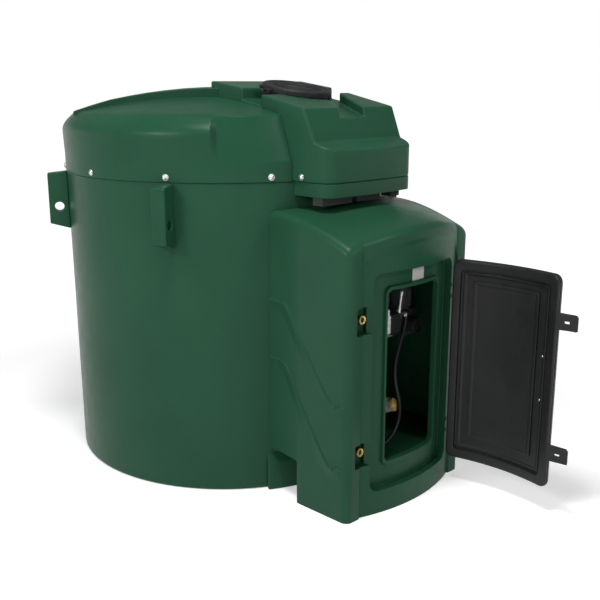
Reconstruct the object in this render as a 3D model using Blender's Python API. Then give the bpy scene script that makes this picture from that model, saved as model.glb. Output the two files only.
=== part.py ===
"""Bunded round storage tank with a dispensing cabinet on its front.

Metres, +Z up. The origin is on the ground at the tank's axis, and the cabinet faces -Y.
Azimuth is measured in plan from the front (-Y) towards the left (-X), in degrees.
"""
from math import atan, atan2, cos, degrees, pi, radians, sin, sqrt

import bmesh
import bpy
from mathutils import Matrix, Vector

# General
GAP = 0.0003
SHELL = 0.012
BEYOND = 0.2
BOW_GAP = 3 * GAP
CUT_FRONT = -1.7
CUT_BACK = -1.2
INTO_TANK = -0.90
CORNER_STEPS = 5

# Tank wall, which widens a little from the ground to the seam
TANK_FOOT_RADIUS = 0.989
TANK_SEAM_RADIUS = 1.000
SEAM_HEIGHT = 1.7465
WALL_SEGMENTS = 6
FACETS_PER_SEGMENT = 16
FIRST_SEGMENT_START = -30.0
FLOOR_THICKNESS = 0.012

# Low band round the foot of the tank behind the cabinet
BAND_RADIUS = 1.022
BAND_HALF_ANGLE = 30.0
BAND_HEIGHT = 0.17
BAND_SLOPE_HEIGHT = 0.22
BAND_STEPS = 16

# Roof: skirt, rounded shoulder and shallow crown
SKIRT_RADIUS = 1.004
SHOULDER = ((1.010, 1.977), (1.006, 2.006), (0.989, 2.035), (0.961, 2.063), (0.920, 2.094))
CROWN_TOP = 2.218
CROWN_SLOPE = 0.015
CROWN_DROP = 0.13
CROWN_RADII = (0.74, 0.55, 0.36, 0.18, 0.0)
ROOF_STEPS = 36
ROOF_MARGIN = 5.0

# Flat-faced panel in the skirt, on each side of the nose
PANEL_OUTER_AZIMUTH = 44.5
PANEL_INNER_AZIMUTH = 17.0
PANEL_FOOT = (1.004, 1.846)
PANEL_TOP_HEIGHT = 2.086
PANEL_TOP_RADIUS_OUTER = 0.953
PANEL_TOP_RADIUS_INNER = 0.914
PANEL_STEPS = 6
PANEL_REAR_RADIUS = 0.45

# Raised area of the crown behind a straight step on each side
STEP_START = (-0.345, -0.371)
STEP_END = (-0.893, 0.338)
STEP_RISES = (0.041, 0.036, 0.027, 0.014, 0.0)
STEP_FADE = (0.0, 0.45, 1.0)
STEP_BACK_START = (-0.12, 0.02)
STEP_BACK_END = (-0.72, 0.56)
STEP_SINK = 0.004
STEP_ROOT = 2.00
RIDGE_FRONT = -0.371
RIDGE_BACK = 0.10

# Spine: the block over the roof that ends in the nose in front
SPINE_HALF_WIDTH = 0.363
SPINE_REAR = -0.27
SPINE_TOP = ((-0.270, 2.266), (-0.533, 2.228), (-0.710, 2.191), (-1.013, 2.126))
SPINE_FRONT = ((-1.084, 1.956), (-1.195, 1.916))
SPINE_UNDERSIDE = ((-0.920, 1.800), (-0.800, 2.030), (-0.600, 2.100), (-0.270, 2.150))
SPINE_INNER = ((-0.282, 2.196), (-0.533, 2.152), (-0.710, 2.119), (-0.998, 2.062), (-1.066, 1.938),
               (-1.215, 1.886))
NOSE_HALF_WIDTH = 0.352
NOSE_FRONT = -1.188
NOSE_BULGE = 0.014
NOSE_CORNER = 0.08
NOSE_CORNER_STEPS = 6
NOSE_BOW_SHARES = (0.6, 0.2)
NOSE_SHOULDER = -0.97
NOSE_BAND_FOOT = 1.6735
RECESS_DEPTH_AT = (-0.54, 2.165)
RECESS_SLOPE = 0.186
WELL_CENTRE = (0.0, -0.604)
WELL_RADIUS = 0.22
WELL_SIDES = 40
CHANNEL_END = 0.42
CHANNEL_REAR = -0.540
LEFT_CHANNEL_FRONT = -0.690
RIGHT_CHANNEL_FRONT = -0.667
DRAIN_RIGHT = ((0.285, -0.667), (0.099, -1.013), (0.074, -1.064))
DRAIN_LEFT = ((-0.130, -1.064), (-0.095, -1.013), (0.010, -0.871))
ARC_STEPS = 12

# Manhole
COVER_RADIUS = 0.200
COVER_TOP_CENTRE = (0.0, -0.604, 2.238)
COVER_THICKNESS = 0.066
COVER_BEVEL = 0.008
RING_RADIUS = 0.188
RING_BORE = 0.160

# Lifting lugs
LUG_AZIMUTHS = {"lug_front_left": 60.0, "lug_rear_left": 120.0,
                "lug_rear_right": -120.0, "lug_front_right": -60.0}
LUG_THICKNESS = 0.078
LUG_ROOT = 0.95
LUG_OUTER_RADIUS = 1.115
LUG_PROFILE = ((LUG_ROOT, 1.382), (LUG_OUTER_RADIUS, 1.430), (LUG_OUTER_RADIUS, 1.730),
               (LUG_ROOT, SEAM_HEIGHT))
LUG_HOLE = (1.055, 1.530)
LUG_HOLE_RADIUS = 0.0285
LUG_HOLE_SIDES = 24

# Packing blocks between the nose and the hood: low x, high x, underside
PACKERS = {"packer_left": (-0.345, -0.110, 1.630), "packer_middle": (-0.074, 0.118, 1.632),
           "packer_right": (0.210, 0.286, 1.636)}
PACKER_FRONT = -1.135
PACKER_BACK = -1.065

# Cabinet shell
CABINET_SIDE = ((0.474, -0.84), (0.482, -0.95), (0.505, -1.12), (0.500, -1.40))
CABINET_CORNER_RADIUS = 0.04
PILASTER_FRONT = -1.472
PILASTER_TURN = (0.4015, -1.472)
PILASTER_EDGE = (0.3955, -1.4625)
SIDE_NOTCH_FRONT = -1.105
SIDE_NOTCH_TOP = 0.250
CABINET_FLOOR_THICKNESS = 0.012
FLOOR_FRONT_SHARES = (1.0, 0.85, 0.6, 0.3, 0.0)
WALL_TOP = 1.75

# Bulging front: arcs about one vertical axis
BULGE_CENTRE_Y = -0.435
BULGE_RADIUS = 1.100
RECESS_RADIUS = 1.048
LIP_RADIUS = 1.068
RECESS_HALF_WIDTH = 0.333
RECESS_FOOT = 0.130
RECESS_TOP = 1.325
OPENING_HALF_WIDTH = 0.2105
OPENING_FOOT = 0.2725
OPENING_TOP = 1.219
LIP_HALF_WIDTH = 0.223
LIP_FOOT = 0.2425
LIP_TOP = 1.239
FRONT_STEPS = 10
FRAME_STEPS = 3
PLATE_STEPS = 4

# Hood
HOOD_BACK_Y = -0.95
HOOD_DEPTH = 0.54
HOOD_EDGE_HEIGHT = 1.589
HOOD_EDGE_DROP = 0.149
HOOD_EDGE_POWER = 1.72
HOOD_CAMBER_BACK = 0.02
HOOD_CAMBER_GROWTH = 0.09
HOOD_CAMBER_POWER = 1.3
HOOD_CAMBER_HALF = 0.48
HOOD_ROUND_START = 0.46
HOOD_ROUND = 14.0
HOOD_OVERHANG = 0.006
HOOD_CUT_MARGIN = 0.024
HOOD_STATIONS = (-1.0, -0.97, -0.92, -0.86, -0.79, -0.66, -0.50, -0.33, -0.16, 0.0,
                 0.16, 0.33, 0.50, 0.66, 0.79, 0.86, 0.92, 0.97, 1.0)
HOOD_ROWS = 8

# Door, given in its closed place; it is stored open by DOOR_OPEN degrees
HINGE_AXIS = (0.3425, -1.4744)
DOOR_OPEN = 92.0
DOOR_EDGES = (-0.320, 0.318)
DOOR_FOOT = 0.145
DOOR_TOP = 1.315
DOOR_CORNER = 0.045
DOOR_CORNER_MARGIN = 0.003
DOOR_BACK_RADIUS = 1.058
GROOVE_RADIUS = 1.076
GROOVE_EDGES = (-0.265, 0.270)
GROOVE_HEIGHTS = (0.205, 1.260)
LINER_RADIUS = 1.066
LINER_EDGES = (-0.194, 0.200)
LINER_HEIGHTS = (0.283, 1.200)
TAB_REACH = 0.430
TAB_DEPTHS = (-1.457, -1.445)
TAB_HEIGHTS = {"latch_tab_upper": (1.030, 1.130), "latch_tab_lower": (0.310, 0.410)}
TAB_SLOT_CENTRE_X = -0.3715
TAB_SLOT = (0.030, 0.040)

# Pockets in the front for the latch tabs, with the lock in each
POCKET_HEIGHTS = {"upper": (1.015, 1.160), "lower": (0.292, 0.425)}
POCKET_EDGES = (-0.440, -0.333)
POCKET_DEPTH_Y = -1.420
POCKET_SKIN = 0.006
LOCK_CENTRES = {"upper": 1.085, "lower": 0.360}
LOCK_CENTRE_X = -0.3700
LOCK_RADIUS = 0.0235
LOCK_DEPTH = 0.014
LOCK_SIDES = 20

# Hinges
HINGE_HEIGHTS = {"upper": 1.130, "lower": 0.330}
HINGE_REACH = 0.042
KNUCKLE_HALF = 0.022
KNUCKLE_GAP = 0.0012
KNUCKLE_RADIUS = 0.009
PIN_RADIUS = 0.004
PIN_BORE = 0.0045
PIN_SIDES = 16
HINGE_BLOCK_BACK = -1.405
HINGE_BLOCK_FRONT = -1.4553
HINGE_BLOCK_EDGE = 0.372
HINGE_NOTCH_EDGE = 0.3655
HINGE_NOTCH_MARGIN = 0.004
KNUCKLE_ARM = (-1.4790, -1.4680)

# Name plate, blank
PLATE_CENTRE = (0.030, 1.274)
PLATE_HALF = (0.050, 0.033)
PLATE_THICKNESS = 0.002

# Dispensing equipment in the cabinet
BRACKET_EDGES = (0.095, 0.345)
BRACKET_FRONT = -1.120
BRACKET_HEIGHTS = (0.800, 1.120)
BRACKET_SKIN = 0.008
PUMP_BODY = ((0.200, -1.2400, 0.830), (0.340, -1.1203, 0.990))
PUMP_BEVEL = 0.012
MOTOR_CENTRE = (0.270, -1.182)
MOTOR_RADIUS = 0.058
MOTOR_HEIGHTS = (0.9903, 1.125)
METER_CENTRE = (0.285, 0.902)
METER_RADIUS = 0.045
METER_DEPTHS = (-1.300, -1.2403)
OUTLET_ARM = ((0.203, -1.280, 0.9753), (0.236, -1.200, 0.988))
ROUND_SIDES = 24

HOLDER = ((0.030, -1.1677, 0.800), (0.100, -1.110, 0.930))
NOZZLE_X = 0.060
NOZZLE_Y = -1.185
NOZZLE_HEIGHTS = (0.700, 0.960)
NOZZLE_RADIUS = 0.017

FILL_PIPE_HEIGHT = 0.405
FILL_PIPE_X = 0.205
FILL_PIPE_RADIUS = 0.040
FILL_PIPE_FRONT = -1.160
CAP_RADIUS = 0.050
CAP_DEPTH = 0.040
CAP_EAR = (0.014, 0.020, 0.016)

HOSE_RADIUS = 0.0135
HOSE_POINTS = 120
ROUTE_FINENESS = 24
HOSE_ROUTE = ((0.2196, -1.262, 0.9745), (0.2195, -1.262, 0.945), (0.204, -1.262, 0.880),
              (0.160, -1.265, 0.790), (0.118, -1.272, 0.680), (0.116, -1.285, 0.575),
              (0.126, -1.305, 0.475), (0.088, -1.330, 0.375), (-0.015, -1.350, 0.302),
              (-0.140, -1.335, 0.280), (-0.262, -1.270, 0.300), (-0.335, -1.230, 0.400),
              (-0.345, -1.210, 0.560), (-0.325, -1.200, 0.740), (-0.285, -1.195, 0.902),
              (-0.260, -1.195, 0.961), (-0.200, -1.195, 0.985), (-0.140, -1.195, 0.961),
              (-0.113, -1.198, 0.902), (-0.080, -1.215, 0.750), (-0.040, -1.245, 0.560),
              (-0.050, -1.270, 0.420), (-0.145, -1.265, 0.345), (-0.250, -1.220, 0.400),
              (-0.292, -1.180, 0.560), (-0.290, -1.165, 0.760), (-0.284, -1.160, 0.902),
              (-0.260, -1.160, 0.961), (-0.200, -1.160, 0.985), (-0.140, -1.160, 0.961),
              (-0.115, -1.162, 0.902), (-0.097, -1.168, 0.800), (-0.083, -1.185, 0.640),
              (-0.055, -1.205, 0.480), (0.000, -1.208, 0.425), (0.048, -1.200, 0.470),
              (0.060, -1.187, 0.570), (0.060, -1.185, 0.640), (0.060, -1.185, 0.6995))
HOOK_CENTRE = (-0.200, 0.900)
HOOK_RADIUS = 0.066
HOOK_FRONT = -1.215

GREEN = ("green_plastic", (0.030, 0.090, 0.052), 0.55, 0.0)
BLACK = ("black_plastic", (0.018, 0.020, 0.021), 0.60, 0.0)
CHARCOAL = ("charcoal_plastic", (0.030, 0.033, 0.034), 0.55, 0.0)
BROWN = ("packer_grey", (0.130, 0.110, 0.090), 0.80, 0.0)
BRASS = ("brass", (0.600, 0.420, 0.130), 0.35, 1.0)
STEEL = ("steel", (0.550, 0.560, 0.570), 0.35, 1.0)
RUBBER = ("hose_rubber", (0.015, 0.015, 0.016), 0.70, 0.0)
SILVER = ("blank_plate", (0.450, 0.460, 0.470), 0.45, 0.6)
PUMP_GREY = ("pump_grey", (0.180, 0.190, 0.200), 0.50, 0.3)


def material(finish):
    """Return the material of a finish, made the first time that it is asked for."""
    name, colour, roughness, metallic = finish
    found = bpy.data.materials.get(name)
    if found:
        return found
    made = bpy.data.materials.new(name)
    made.use_nodes = True
    shader = made.node_tree.nodes["Principled BSDF"]
    shader.inputs["Base Color"].default_value = (*colour, 1.0)
    shader.inputs["Roughness"].default_value = roughness
    shader.inputs["Metallic"].default_value = metallic
    return made


def add_object(name, mesh_data, finish):
    """Link one mesh as an object with its material, or as a hidden cutter without one."""
    made = bpy.data.objects.new(name, mesh_data)
    bpy.context.scene.collection.objects.link(made)
    if finish:
        mesh_data.materials.append(material(finish))
    else:
        made.hide_render = True
        made.display_type = "WIRE"
    return made


def loft(name, rings, finish, split=False):
    """Join closed rings of equal length into one solid with a cap at each end.

    split cuts each four-sided face along the same diagonal, for sides that aren't flat.
    """
    shape = bmesh.new()
    rows = [[shape.verts.new(point) for point in ring] for ring in rings]
    for row, following in zip(rows, rows[1:]):
        for index in range(len(row)):
            after = (index + 1) % len(row)
            corners = (row[index], row[after], following[after], following[index])
            if split:
                shape.faces.new(corners[:3])
                shape.faces.new((corners[2], corners[3], corners[0]))
            else:
                shape.faces.new(corners)
    shape.faces.new(rows[0])
    shape.faces.new(rows[-1])
    bmesh.ops.remove_doubles(shape, verts=shape.verts, dist=GAP / 10)
    bmesh.ops.recalc_face_normals(shape, faces=shape.faces)
    made = bpy.data.meshes.new(name)
    shape.to_mesh(made)
    shape.free()
    return add_object(name, made, finish)


def prism(name, outline, low, high, finish):
    """Extrude a plan outline between two heights, each a number or a function of x and y."""
    def level(value, point):
        return value(*point) if callable(value) else value
    rings = [[(*point, level(value, point)) for point in outline] for value in (low, high)]
    return loft(name, rings, finish)


def box(name, low, high, finish):
    """Make a box between two corners."""
    outline = [(low[0], low[1]), (high[0], low[1]), (high[0], high[1]), (low[0], high[1])]
    return prism(name, outline, low[2], high[2], finish)


def circle(centre, radius, sides):
    """Return the corners of a regular polygon round a centre in a plane."""
    turns = [2 * pi * index / sides for index in range(sides)]
    return [(centre[0] + radius * cos(turn), centre[1] + radius * sin(turn)) for turn in turns]


def rod_along_y(name, centre, radius, depths, sides, finish):
    """Make a round bar along Y whose centre is given as x and z."""
    rings = [[(x, y, z) for x, z in circle(centre, radius, sides)] for y in depths]
    return loft(name, rings, finish)


def combine(target, tool, operation):
    """Add a Boolean modifier to a piece, and return the piece."""
    modifier = target.modifiers.new(f"{operation.lower()} {tool.name}", "BOOLEAN")
    modifier.operation = operation
    modifier.solver = "EXACT"
    modifier.object = tool
    return target


def cut(target, *tools):
    """Cut each tool out of a piece."""
    for tool in tools:
        combine(target, tool, "DIFFERENCE")
    return target


def add(target, *tools):
    """Join each tool to a piece."""
    for tool in tools:
        combine(target, tool, "UNION")
    return target


def bevel(target, width, segments=2):
    """Round the edges of a piece."""
    modifier = target.modifiers.new("rounded edges", "BEVEL")
    modifier.width = width
    modifier.segments = segments
    modifier.limit_method = "ANGLE"
    return target


def mirror_outline(outline):
    """Return an outline reflected to the other side of the middle plane."""
    return [(-x, y) for x, y in reversed(outline)]


def at_azimuth(radius, azimuth, height):
    """Return the point at a radius, azimuth and height round the tank's axis."""
    turn = radians(azimuth)
    return (-radius * sin(turn), -radius * cos(turn), height)


def ring_sweep(name, start, end, steps, profile, finish):
    """Sweep a profile of (radius, height) points round the tank's axis.

    The profile is a list, or a function that returns the list at an azimuth.
    """
    rings = []
    for index in range(steps + 1):
        azimuth = start + (end - start) * index / steps
        points = profile(azimuth) if callable(profile) else profile
        rings.append([at_azimuth(radius, azimuth, height) for radius, height in points])
    return loft(name, rings, finish)


def bulge_y(radius, x):
    """Return where an arc about the front's centre line lies at x."""
    return BULGE_CENTRE_Y - sqrt(radius ** 2 - x ** 2)


def front_sweep(name, edges, profile, finish, steps=FRONT_STEPS):
    """Sweep a profile of (radius, height) points across the bulging front between two x values."""
    stations = [edges[0] + (edges[1] - edges[0]) * index / steps for index in range(steps + 1)]
    rings = [[(x, bulge_y(radius, x), height) for radius, height in profile] for x in stations]
    return loft(name, rings, finish)


def tank_radius(height):
    """Return the outer radius of the tank wall at a height."""
    return TANK_FOOT_RADIUS + (TANK_SEAM_RADIUS - TANK_FOOT_RADIUS) * height / SEAM_HEIGHT


def crown_height(radius):
    """Return the height of the roof's crown at a radius."""
    return CROWN_TOP - CROWN_SLOPE * radius - CROWN_DROP * radius ** 2


def tank_clearance_cutter():
    """Make the tank's outside, grown by the gap, which trims whatever leans against it."""
    facets = WALL_SEGMENTS * FACETS_PER_SEGMENT
    rings = []
    for height in (-BEYOND, SEAM_HEIGHT + BEYOND):
        radius = tank_radius(height) + GAP
        rings.append([at_azimuth(radius, 360.0 * index / facets, height) for index in range(facets)])
    return loft("tank_clearance", rings, None)


def build_bund():
    """Make the floor and the wall segments of the outer tank, and the band at its foot."""
    facets = WALL_SEGMENTS * FACETS_PER_SEGMENT
    floor_radius = TANK_FOOT_RADIUS - SHELL - GAP
    outline = [at_azimuth(floor_radius, 360.0 * index / facets, 0.0)[:2] for index in range(facets)]
    prism("bund_floor", outline, 0.0, FLOOR_THICKNESS, GREEN)

    profile = [(TANK_FOOT_RADIUS - SHELL, 0.0), (TANK_FOOT_RADIUS, 0.0),
               (TANK_SEAM_RADIUS, SEAM_HEIGHT), (TANK_SEAM_RADIUS - SHELL, SEAM_HEIGHT)]
    span = 360.0 / WALL_SEGMENTS
    joint = degrees(GAP / 2)
    for index in range(WALL_SEGMENTS):
        start = FIRST_SEGMENT_START + index * span
        ring_sweep(f"bund_wall_{index + 1}", start + joint, start + span - joint,
                   FACETS_PER_SEGMENT, profile, GREEN)

    band = [(tank_radius(0.0) + GAP, 0.0), (BAND_RADIUS, 0.0), (BAND_RADIUS, BAND_HEIGHT),
            (tank_radius(BAND_SLOPE_HEIGHT) + GAP, BAND_SLOPE_HEIGHT)]
    ring_sweep("base_band", -BAND_HALF_ANGLE, BAND_HALF_ANGLE, BAND_STEPS, band, GREEN)


def roof_inside():
    """Return the profile of the space under the roof, from the skirt to the axis."""
    inner = [(SKIRT_RADIUS - SHELL, SEAM_HEIGHT - BEYOND), (SKIRT_RADIUS - SHELL, SHOULDER[0][1])]
    inner += [(radius - SHELL, height - SHELL) for radius, height in SHOULDER[2:]]
    inner += [(radius, crown_height(radius) - SHELL) for radius in CROWN_RADII]
    inner += [(0.0, SEAM_HEIGHT - BEYOND)]
    return inner


def raised_area(name, side):
    """Make the solid that lifts the crown behind the step, on the side given as +1 or -1."""
    rows = []
    foot_line = [(-GAP / 2, RIDGE_FRONT)]
    back_line = [(-GAP / 2, RIDGE_BACK)]
    last = len(STEP_RISES) - 1
    for index in range(last + 1):
        share = index / last
        foot_line.append(tuple(a + (b - a) * share for a, b in zip(STEP_START, STEP_END)))
        back_line.append(tuple(a + (b - a) * share for a, b in zip(STEP_BACK_START, STEP_BACK_END)))
    rises = (STEP_RISES[0], *STEP_RISES)
    for foot, back, rise in zip(foot_line, back_line, rises):
        row = []
        for fade in STEP_FADE:
            x, y = (a + (b - a) * fade for a, b in zip(foot, back))
            height = crown_height(sqrt(x ** 2 + y ** 2)) + rise * (1 - fade) - STEP_SINK * fade
            row.append((-side * x, y, min(height, CROWN_TOP - GAP)))
        row += [(x, y, STEP_ROOT) for x, y, _ in reversed(row)]
        rows.append(row)
    return loft(name, rows, None)


def build_roof(slot):
    """Make the two roof halves and the two skirt panels, with the slot that the spine fills."""
    skirt = [(0.0, SEAM_HEIGHT + GAP), (SKIRT_RADIUS, SEAM_HEIGHT + GAP)]
    crown = [(radius, crown_height(radius)) for radius in CROWN_RADII]
    outer = skirt + [*SHOULDER, *crown]
    inside = roof_inside()
    rear = [(radius, crown_height(radius)) for radius in (*CROWN_RADII[:2], PANEL_REAR_RADIUS)]
    low, high = SEAM_HEIGHT - BEYOND, CROWN_TOP + BEYOND
    reach = SKIRT_RADIUS + BEYOND
    wedge = [(PANEL_REAR_RADIUS, low), (reach, low), (reach, high), (PANEL_REAR_RADIUS, high)]

    def panel_profile(azimuth):
        share = (abs(azimuth) - PANEL_INNER_AZIMUTH) / (PANEL_OUTER_AZIMUTH - PANEL_INNER_AZIMUTH)
        top = PANEL_TOP_RADIUS_INNER + (PANEL_TOP_RADIUS_OUTER - PANEL_TOP_RADIUS_INNER) * share
        outside = [(SKIRT_RADIUS, SEAM_HEIGHT + GAP), PANEL_FOOT, (top, PANEL_TOP_HEIGHT)]
        outside += rear
        under = [(radius, height - SHELL) for radius, height in reversed(rear)]
        under += [(top - SHELL, PANEL_TOP_HEIGHT - 2 * SHELL), (PANEL_FOOT[0] - SHELL, PANEL_FOOT[1]),
                  (SKIRT_RADIUS - SHELL, SEAM_HEIGHT + GAP)]
        return outside + under

    joint = degrees(GAP / 2)
    for word, side in (("left", 1), ("right", -1)):
        hollow = ring_sweep(f"roof_hollow_{word}", side * -ROOF_MARGIN, side * (180.0 + ROOF_MARGIN),
                            ROOF_STEPS + 2, inside, None)
        half = ring_sweep(f"roof_{word}", side * joint, side * (180.0 - joint), ROOF_STEPS, outer,
                          GREEN)
        add(half, raised_area(f"raised_area_{word}", -side))
        panel_space = ring_sweep(f"panel_space_{word}", side * -ROOF_MARGIN,
                                 side * (PANEL_OUTER_AZIMUTH + joint), PANEL_STEPS, wedge, None)
        cut(half, hollow, slot, panel_space)
        panel = ring_sweep(f"roof_panel_{word}", side * PANEL_INNER_AZIMUTH,
                           side * (PANEL_OUTER_AZIMUTH - joint), PANEL_STEPS, panel_profile, GREEN)
        cut(panel, slot)


def nose_outline(half_width, rear, inset=0.0):
    """Return the plan of the spine and nose, with round front corners and a bowed front."""
    front = NOSE_FRONT + inset
    narrow = NOSE_HALF_WIDTH - inset
    centre = (narrow - NOSE_CORNER, front + NOSE_CORNER)
    corner = []
    for index in range(NOSE_CORNER_STEPS + 1):
        turn = pi / 2 * index / NOSE_CORNER_STEPS
        corner.append((centre[0] + NOSE_CORNER * cos(turn), centre[1] - NOSE_CORNER * sin(turn)))
    right = [(half_width - inset, rear), (half_width - inset, NOSE_SHOULDER)] + corner
    bow = [(centre[0] * share, front - NOSE_BULGE * (1 - share ** 2)) for share in NOSE_BOW_SHARES]
    right += bow
    return right + mirror_outline(right)


def recess_floor(_x, y):
    """Return the height of the sunk floor in the spine's top."""
    return RECESS_DEPTH_AT[1] + RECESS_SLOPE * (y - RECESS_DEPTH_AT[0])


def well_arc(start, end):
    """Return points of the well's edge between two points on it, turning clockwise in plan."""
    turns = [atan2(y - WELL_CENTRE[1], x - WELL_CENTRE[0]) for x, y in (start, end)]
    sweep = (turns[1] - turns[0]) % (-2 * pi)
    steps = [turns[0] + sweep * index / ARC_STEPS for index in range(ARC_STEPS + 1)]
    return [(WELL_CENTRE[0] + WELL_RADIUS * cos(turn), WELL_CENTRE[1] + WELL_RADIUS * sin(turn))
            for turn in steps]


def recess_outline():
    """Return the plan of the sunk area: the well, a channel to each side and the drain in front."""
    def on_well(y, side):
        return (side * sqrt(WELL_RADIUS ** 2 - (y - WELL_CENTRE[1]) ** 2), y)

    rear = well_arc(on_well(CHANNEL_REAR, -1), on_well(CHANNEL_REAR, 1))
    drain_start = (DRAIN_LEFT[-1][0], WELL_CENTRE[1] - sqrt(WELL_RADIUS ** 2 - DRAIN_LEFT[-1][0] ** 2))
    front = well_arc(drain_start, on_well(LEFT_CHANNEL_FRONT, -1))
    return [(-CHANNEL_END, CHANNEL_REAR), *rear, (CHANNEL_END, CHANNEL_REAR),
            (CHANNEL_END, RIGHT_CHANNEL_FRONT), *DRAIN_RIGHT, *DRAIN_LEFT, *front,
            (-CHANNEL_END, LEFT_CHANNEL_FRONT)]


def build_spine(slot_gap):
    """Make the spine with its nose, the recesses in its top and the nose's lower band.

    The returned cutter opens the roof round the spine.
    """
    top = [*SPINE_TOP, *SPINE_FRONT]
    tip = SPINE_FRONT[-1][1] + RECESS_SLOPE * (SPINE_FRONT[-1][0] - NOSE_FRONT + NOSE_BULGE)
    rear = SPINE_REAR + BEYOND
    bounds = [(rear, SPINE_TOP[0][1]), *top, (NOSE_FRONT - BEYOND, tip),
              (NOSE_FRONT - BEYOND, SEAM_HEIGHT + GAP), (SPINE_UNDERSIDE[0][0], SEAM_HEIGHT + GAP),
              *SPINE_UNDERSIDE, (rear, SPINE_UNDERSIDE[-1][1])]
    spread = SPINE_HALF_WIDTH + BEYOND
    limits = loft("spine_limits", [[(x, y, z) for y, z in bounds] for x in (-spread, spread)], None)

    low = SEAM_HEIGHT - BEYOND
    inner = [*SPINE_INNER, (SPINE_INNER[-1][0], low), (SPINE_INNER[0][0], low)]
    inner_limits = loft("inner_limits", [[(x, y, z) for y, z in inner] for x in (-spread, spread)], None)
    hollow = prism("spine_hollow", nose_outline(NOSE_HALF_WIDTH, SPINE_INNER[0][0] + BEYOND, SHELL),
                   low + GAP, CROWN_TOP, None)
    combine(hollow, inner_limits, "INTERSECT")

    body = prism("spine_cover", nose_outline(SPINE_HALF_WIDTH, SPINE_REAR), SEAM_HEIGHT,
                 CROWN_TOP + BEYOND, GREEN)
    combine(body, limits, "INTERSECT")
    above = CROWN_TOP + BEYOND
    recess = prism("top_recess", recess_outline(), recess_floor, above, None)
    cut(body, hollow, recess)

    width = SPINE_HALF_WIDTH + slot_gap
    return box("spine_slot", (-width, NOSE_FRONT - BEYOND, SEAM_HEIGHT - BEYOND),
               (width, SPINE_REAR + slot_gap, CROWN_TOP + BEYOND), None)


def build_nose_band(tank):
    """Make the lower tray of the nose, which belongs to the outer tank."""
    outline = nose_outline(NOSE_HALF_WIDTH + GAP, INTO_TANK)
    band = prism("nose_band", outline, NOSE_BAND_FOOT, SEAM_HEIGHT, GREEN)
    pocket = prism("nose_band_hollow", nose_outline(NOSE_HALF_WIDTH, INTO_TANK + BEYOND, SHELL),
                   NOSE_BAND_FOOT + SHELL, SEAM_HEIGHT + BEYOND, None)
    cut(band, pocket, tank)
    for name, (low_x, high_x, foot) in PACKERS.items():
        box(name, (low_x, PACKER_FRONT, foot), (high_x, PACKER_BACK, NOSE_BAND_FOOT - GAP), BROWN)


def tilt_with_roof(made):
    """Turn a piece that is modelled flat about the manhole's centre to the spine's slope."""
    made.location = COVER_TOP_CENTRE
    made.rotation_euler = (atan(RECESS_SLOPE), 0.0, 0.0)
    return made


def build_manhole():
    """Make the ring on the well's floor and the clamped round cover on it."""
    centre = (0.0, 0.0)
    cover = prism("manhole_cover", circle(centre, COVER_RADIUS, WELL_SIDES), -COVER_THICKNESS, 0.0,
                  BLACK)
    bevel(cover, COVER_BEVEL)
    tilt_with_roof(cover)
    drop = COVER_TOP_CENTRE[2] - recess_floor(*WELL_CENTRE) - GAP
    foot = -drop * cos(atan(RECESS_SLOPE)) + GAP
    ring = prism("manhole_ring", circle(centre, RING_RADIUS, WELL_SIDES), foot,
                 -COVER_THICKNESS - GAP, GREEN)
    bore = prism("manhole_bore", circle(centre, RING_BORE, WELL_SIDES), -BEYOND, BEYOND, None)
    tilt_with_roof(ring)
    tilt_with_roof(bore)
    cut(ring, bore)


def build_lugs(tank):
    """Make the lifting lugs, each with a hole through it round the tank."""
    for name, azimuth in LUG_AZIMUTHS.items():
        turn = radians(azimuth)
        outward = Vector((-sin(turn), -cos(turn), 0.0))
        along = Vector((-cos(turn), sin(turn), 0.0))

        def ring(points, offset):
            return [outward * radius + along * offset + Vector((0, 0, z)) for radius, z in points]

        half = LUG_THICKNESS / 2
        lug = loft(name, [ring(LUG_PROFILE, -half), ring(LUG_PROFILE, half)], GREEN)
        hole = circle(LUG_HOLE, LUG_HOLE_RADIUS, LUG_HOLE_SIDES)
        cut(lug, loft(f"{name}_hole", [ring(hole, -BEYOND), ring(hole, BEYOND)], None), tank)


def side_half_width(y):
    """Return the cabinet's outer half width at a depth."""
    for (wide, near), (narrow, far) in zip(CABINET_SIDE, CABINET_SIDE[1:]):
        if y >= far:
            share = max(0.0, (y - near) / (far - near))
            return wide + (narrow - wide) * share
    return CABINET_SIDE[-1][0]


def front_edge(x):
    """Return the depth of the cabinet's front at x, over the bulge, the pilaster or its corner."""
    reach = abs(x)
    if reach < PILASTER_EDGE[0]:
        return bulge_y(BULGE_RADIUS, x)
    corner_centre = CABINET_SIDE[-1][0] - CABINET_CORNER_RADIUS
    if reach < corner_centre:
        return PILASTER_FRONT
    across = min(reach - corner_centre, CABINET_CORNER_RADIUS)
    return PILASTER_FRONT + CABINET_CORNER_RADIUS - sqrt(CABINET_CORNER_RADIUS ** 2 - across ** 2)


def hood_height(x, y):
    """Return the height of the hood's outside over a point in plan."""
    share = max(0.0, HOOD_BACK_Y - y) / HOOD_DEPTH
    edge = HOOD_EDGE_HEIGHT - HOOD_EDGE_DROP * share ** HOOD_EDGE_POWER
    camber = HOOD_CAMBER_BACK + HOOD_CAMBER_GROWTH * share ** HOOD_CAMBER_POWER
    fall = HOOD_ROUND * max(0.0, abs(x) - HOOD_ROUND_START) ** 2
    return edge + camber * (1 - (x / HOOD_CAMBER_HALF) ** 2) - fall


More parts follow.
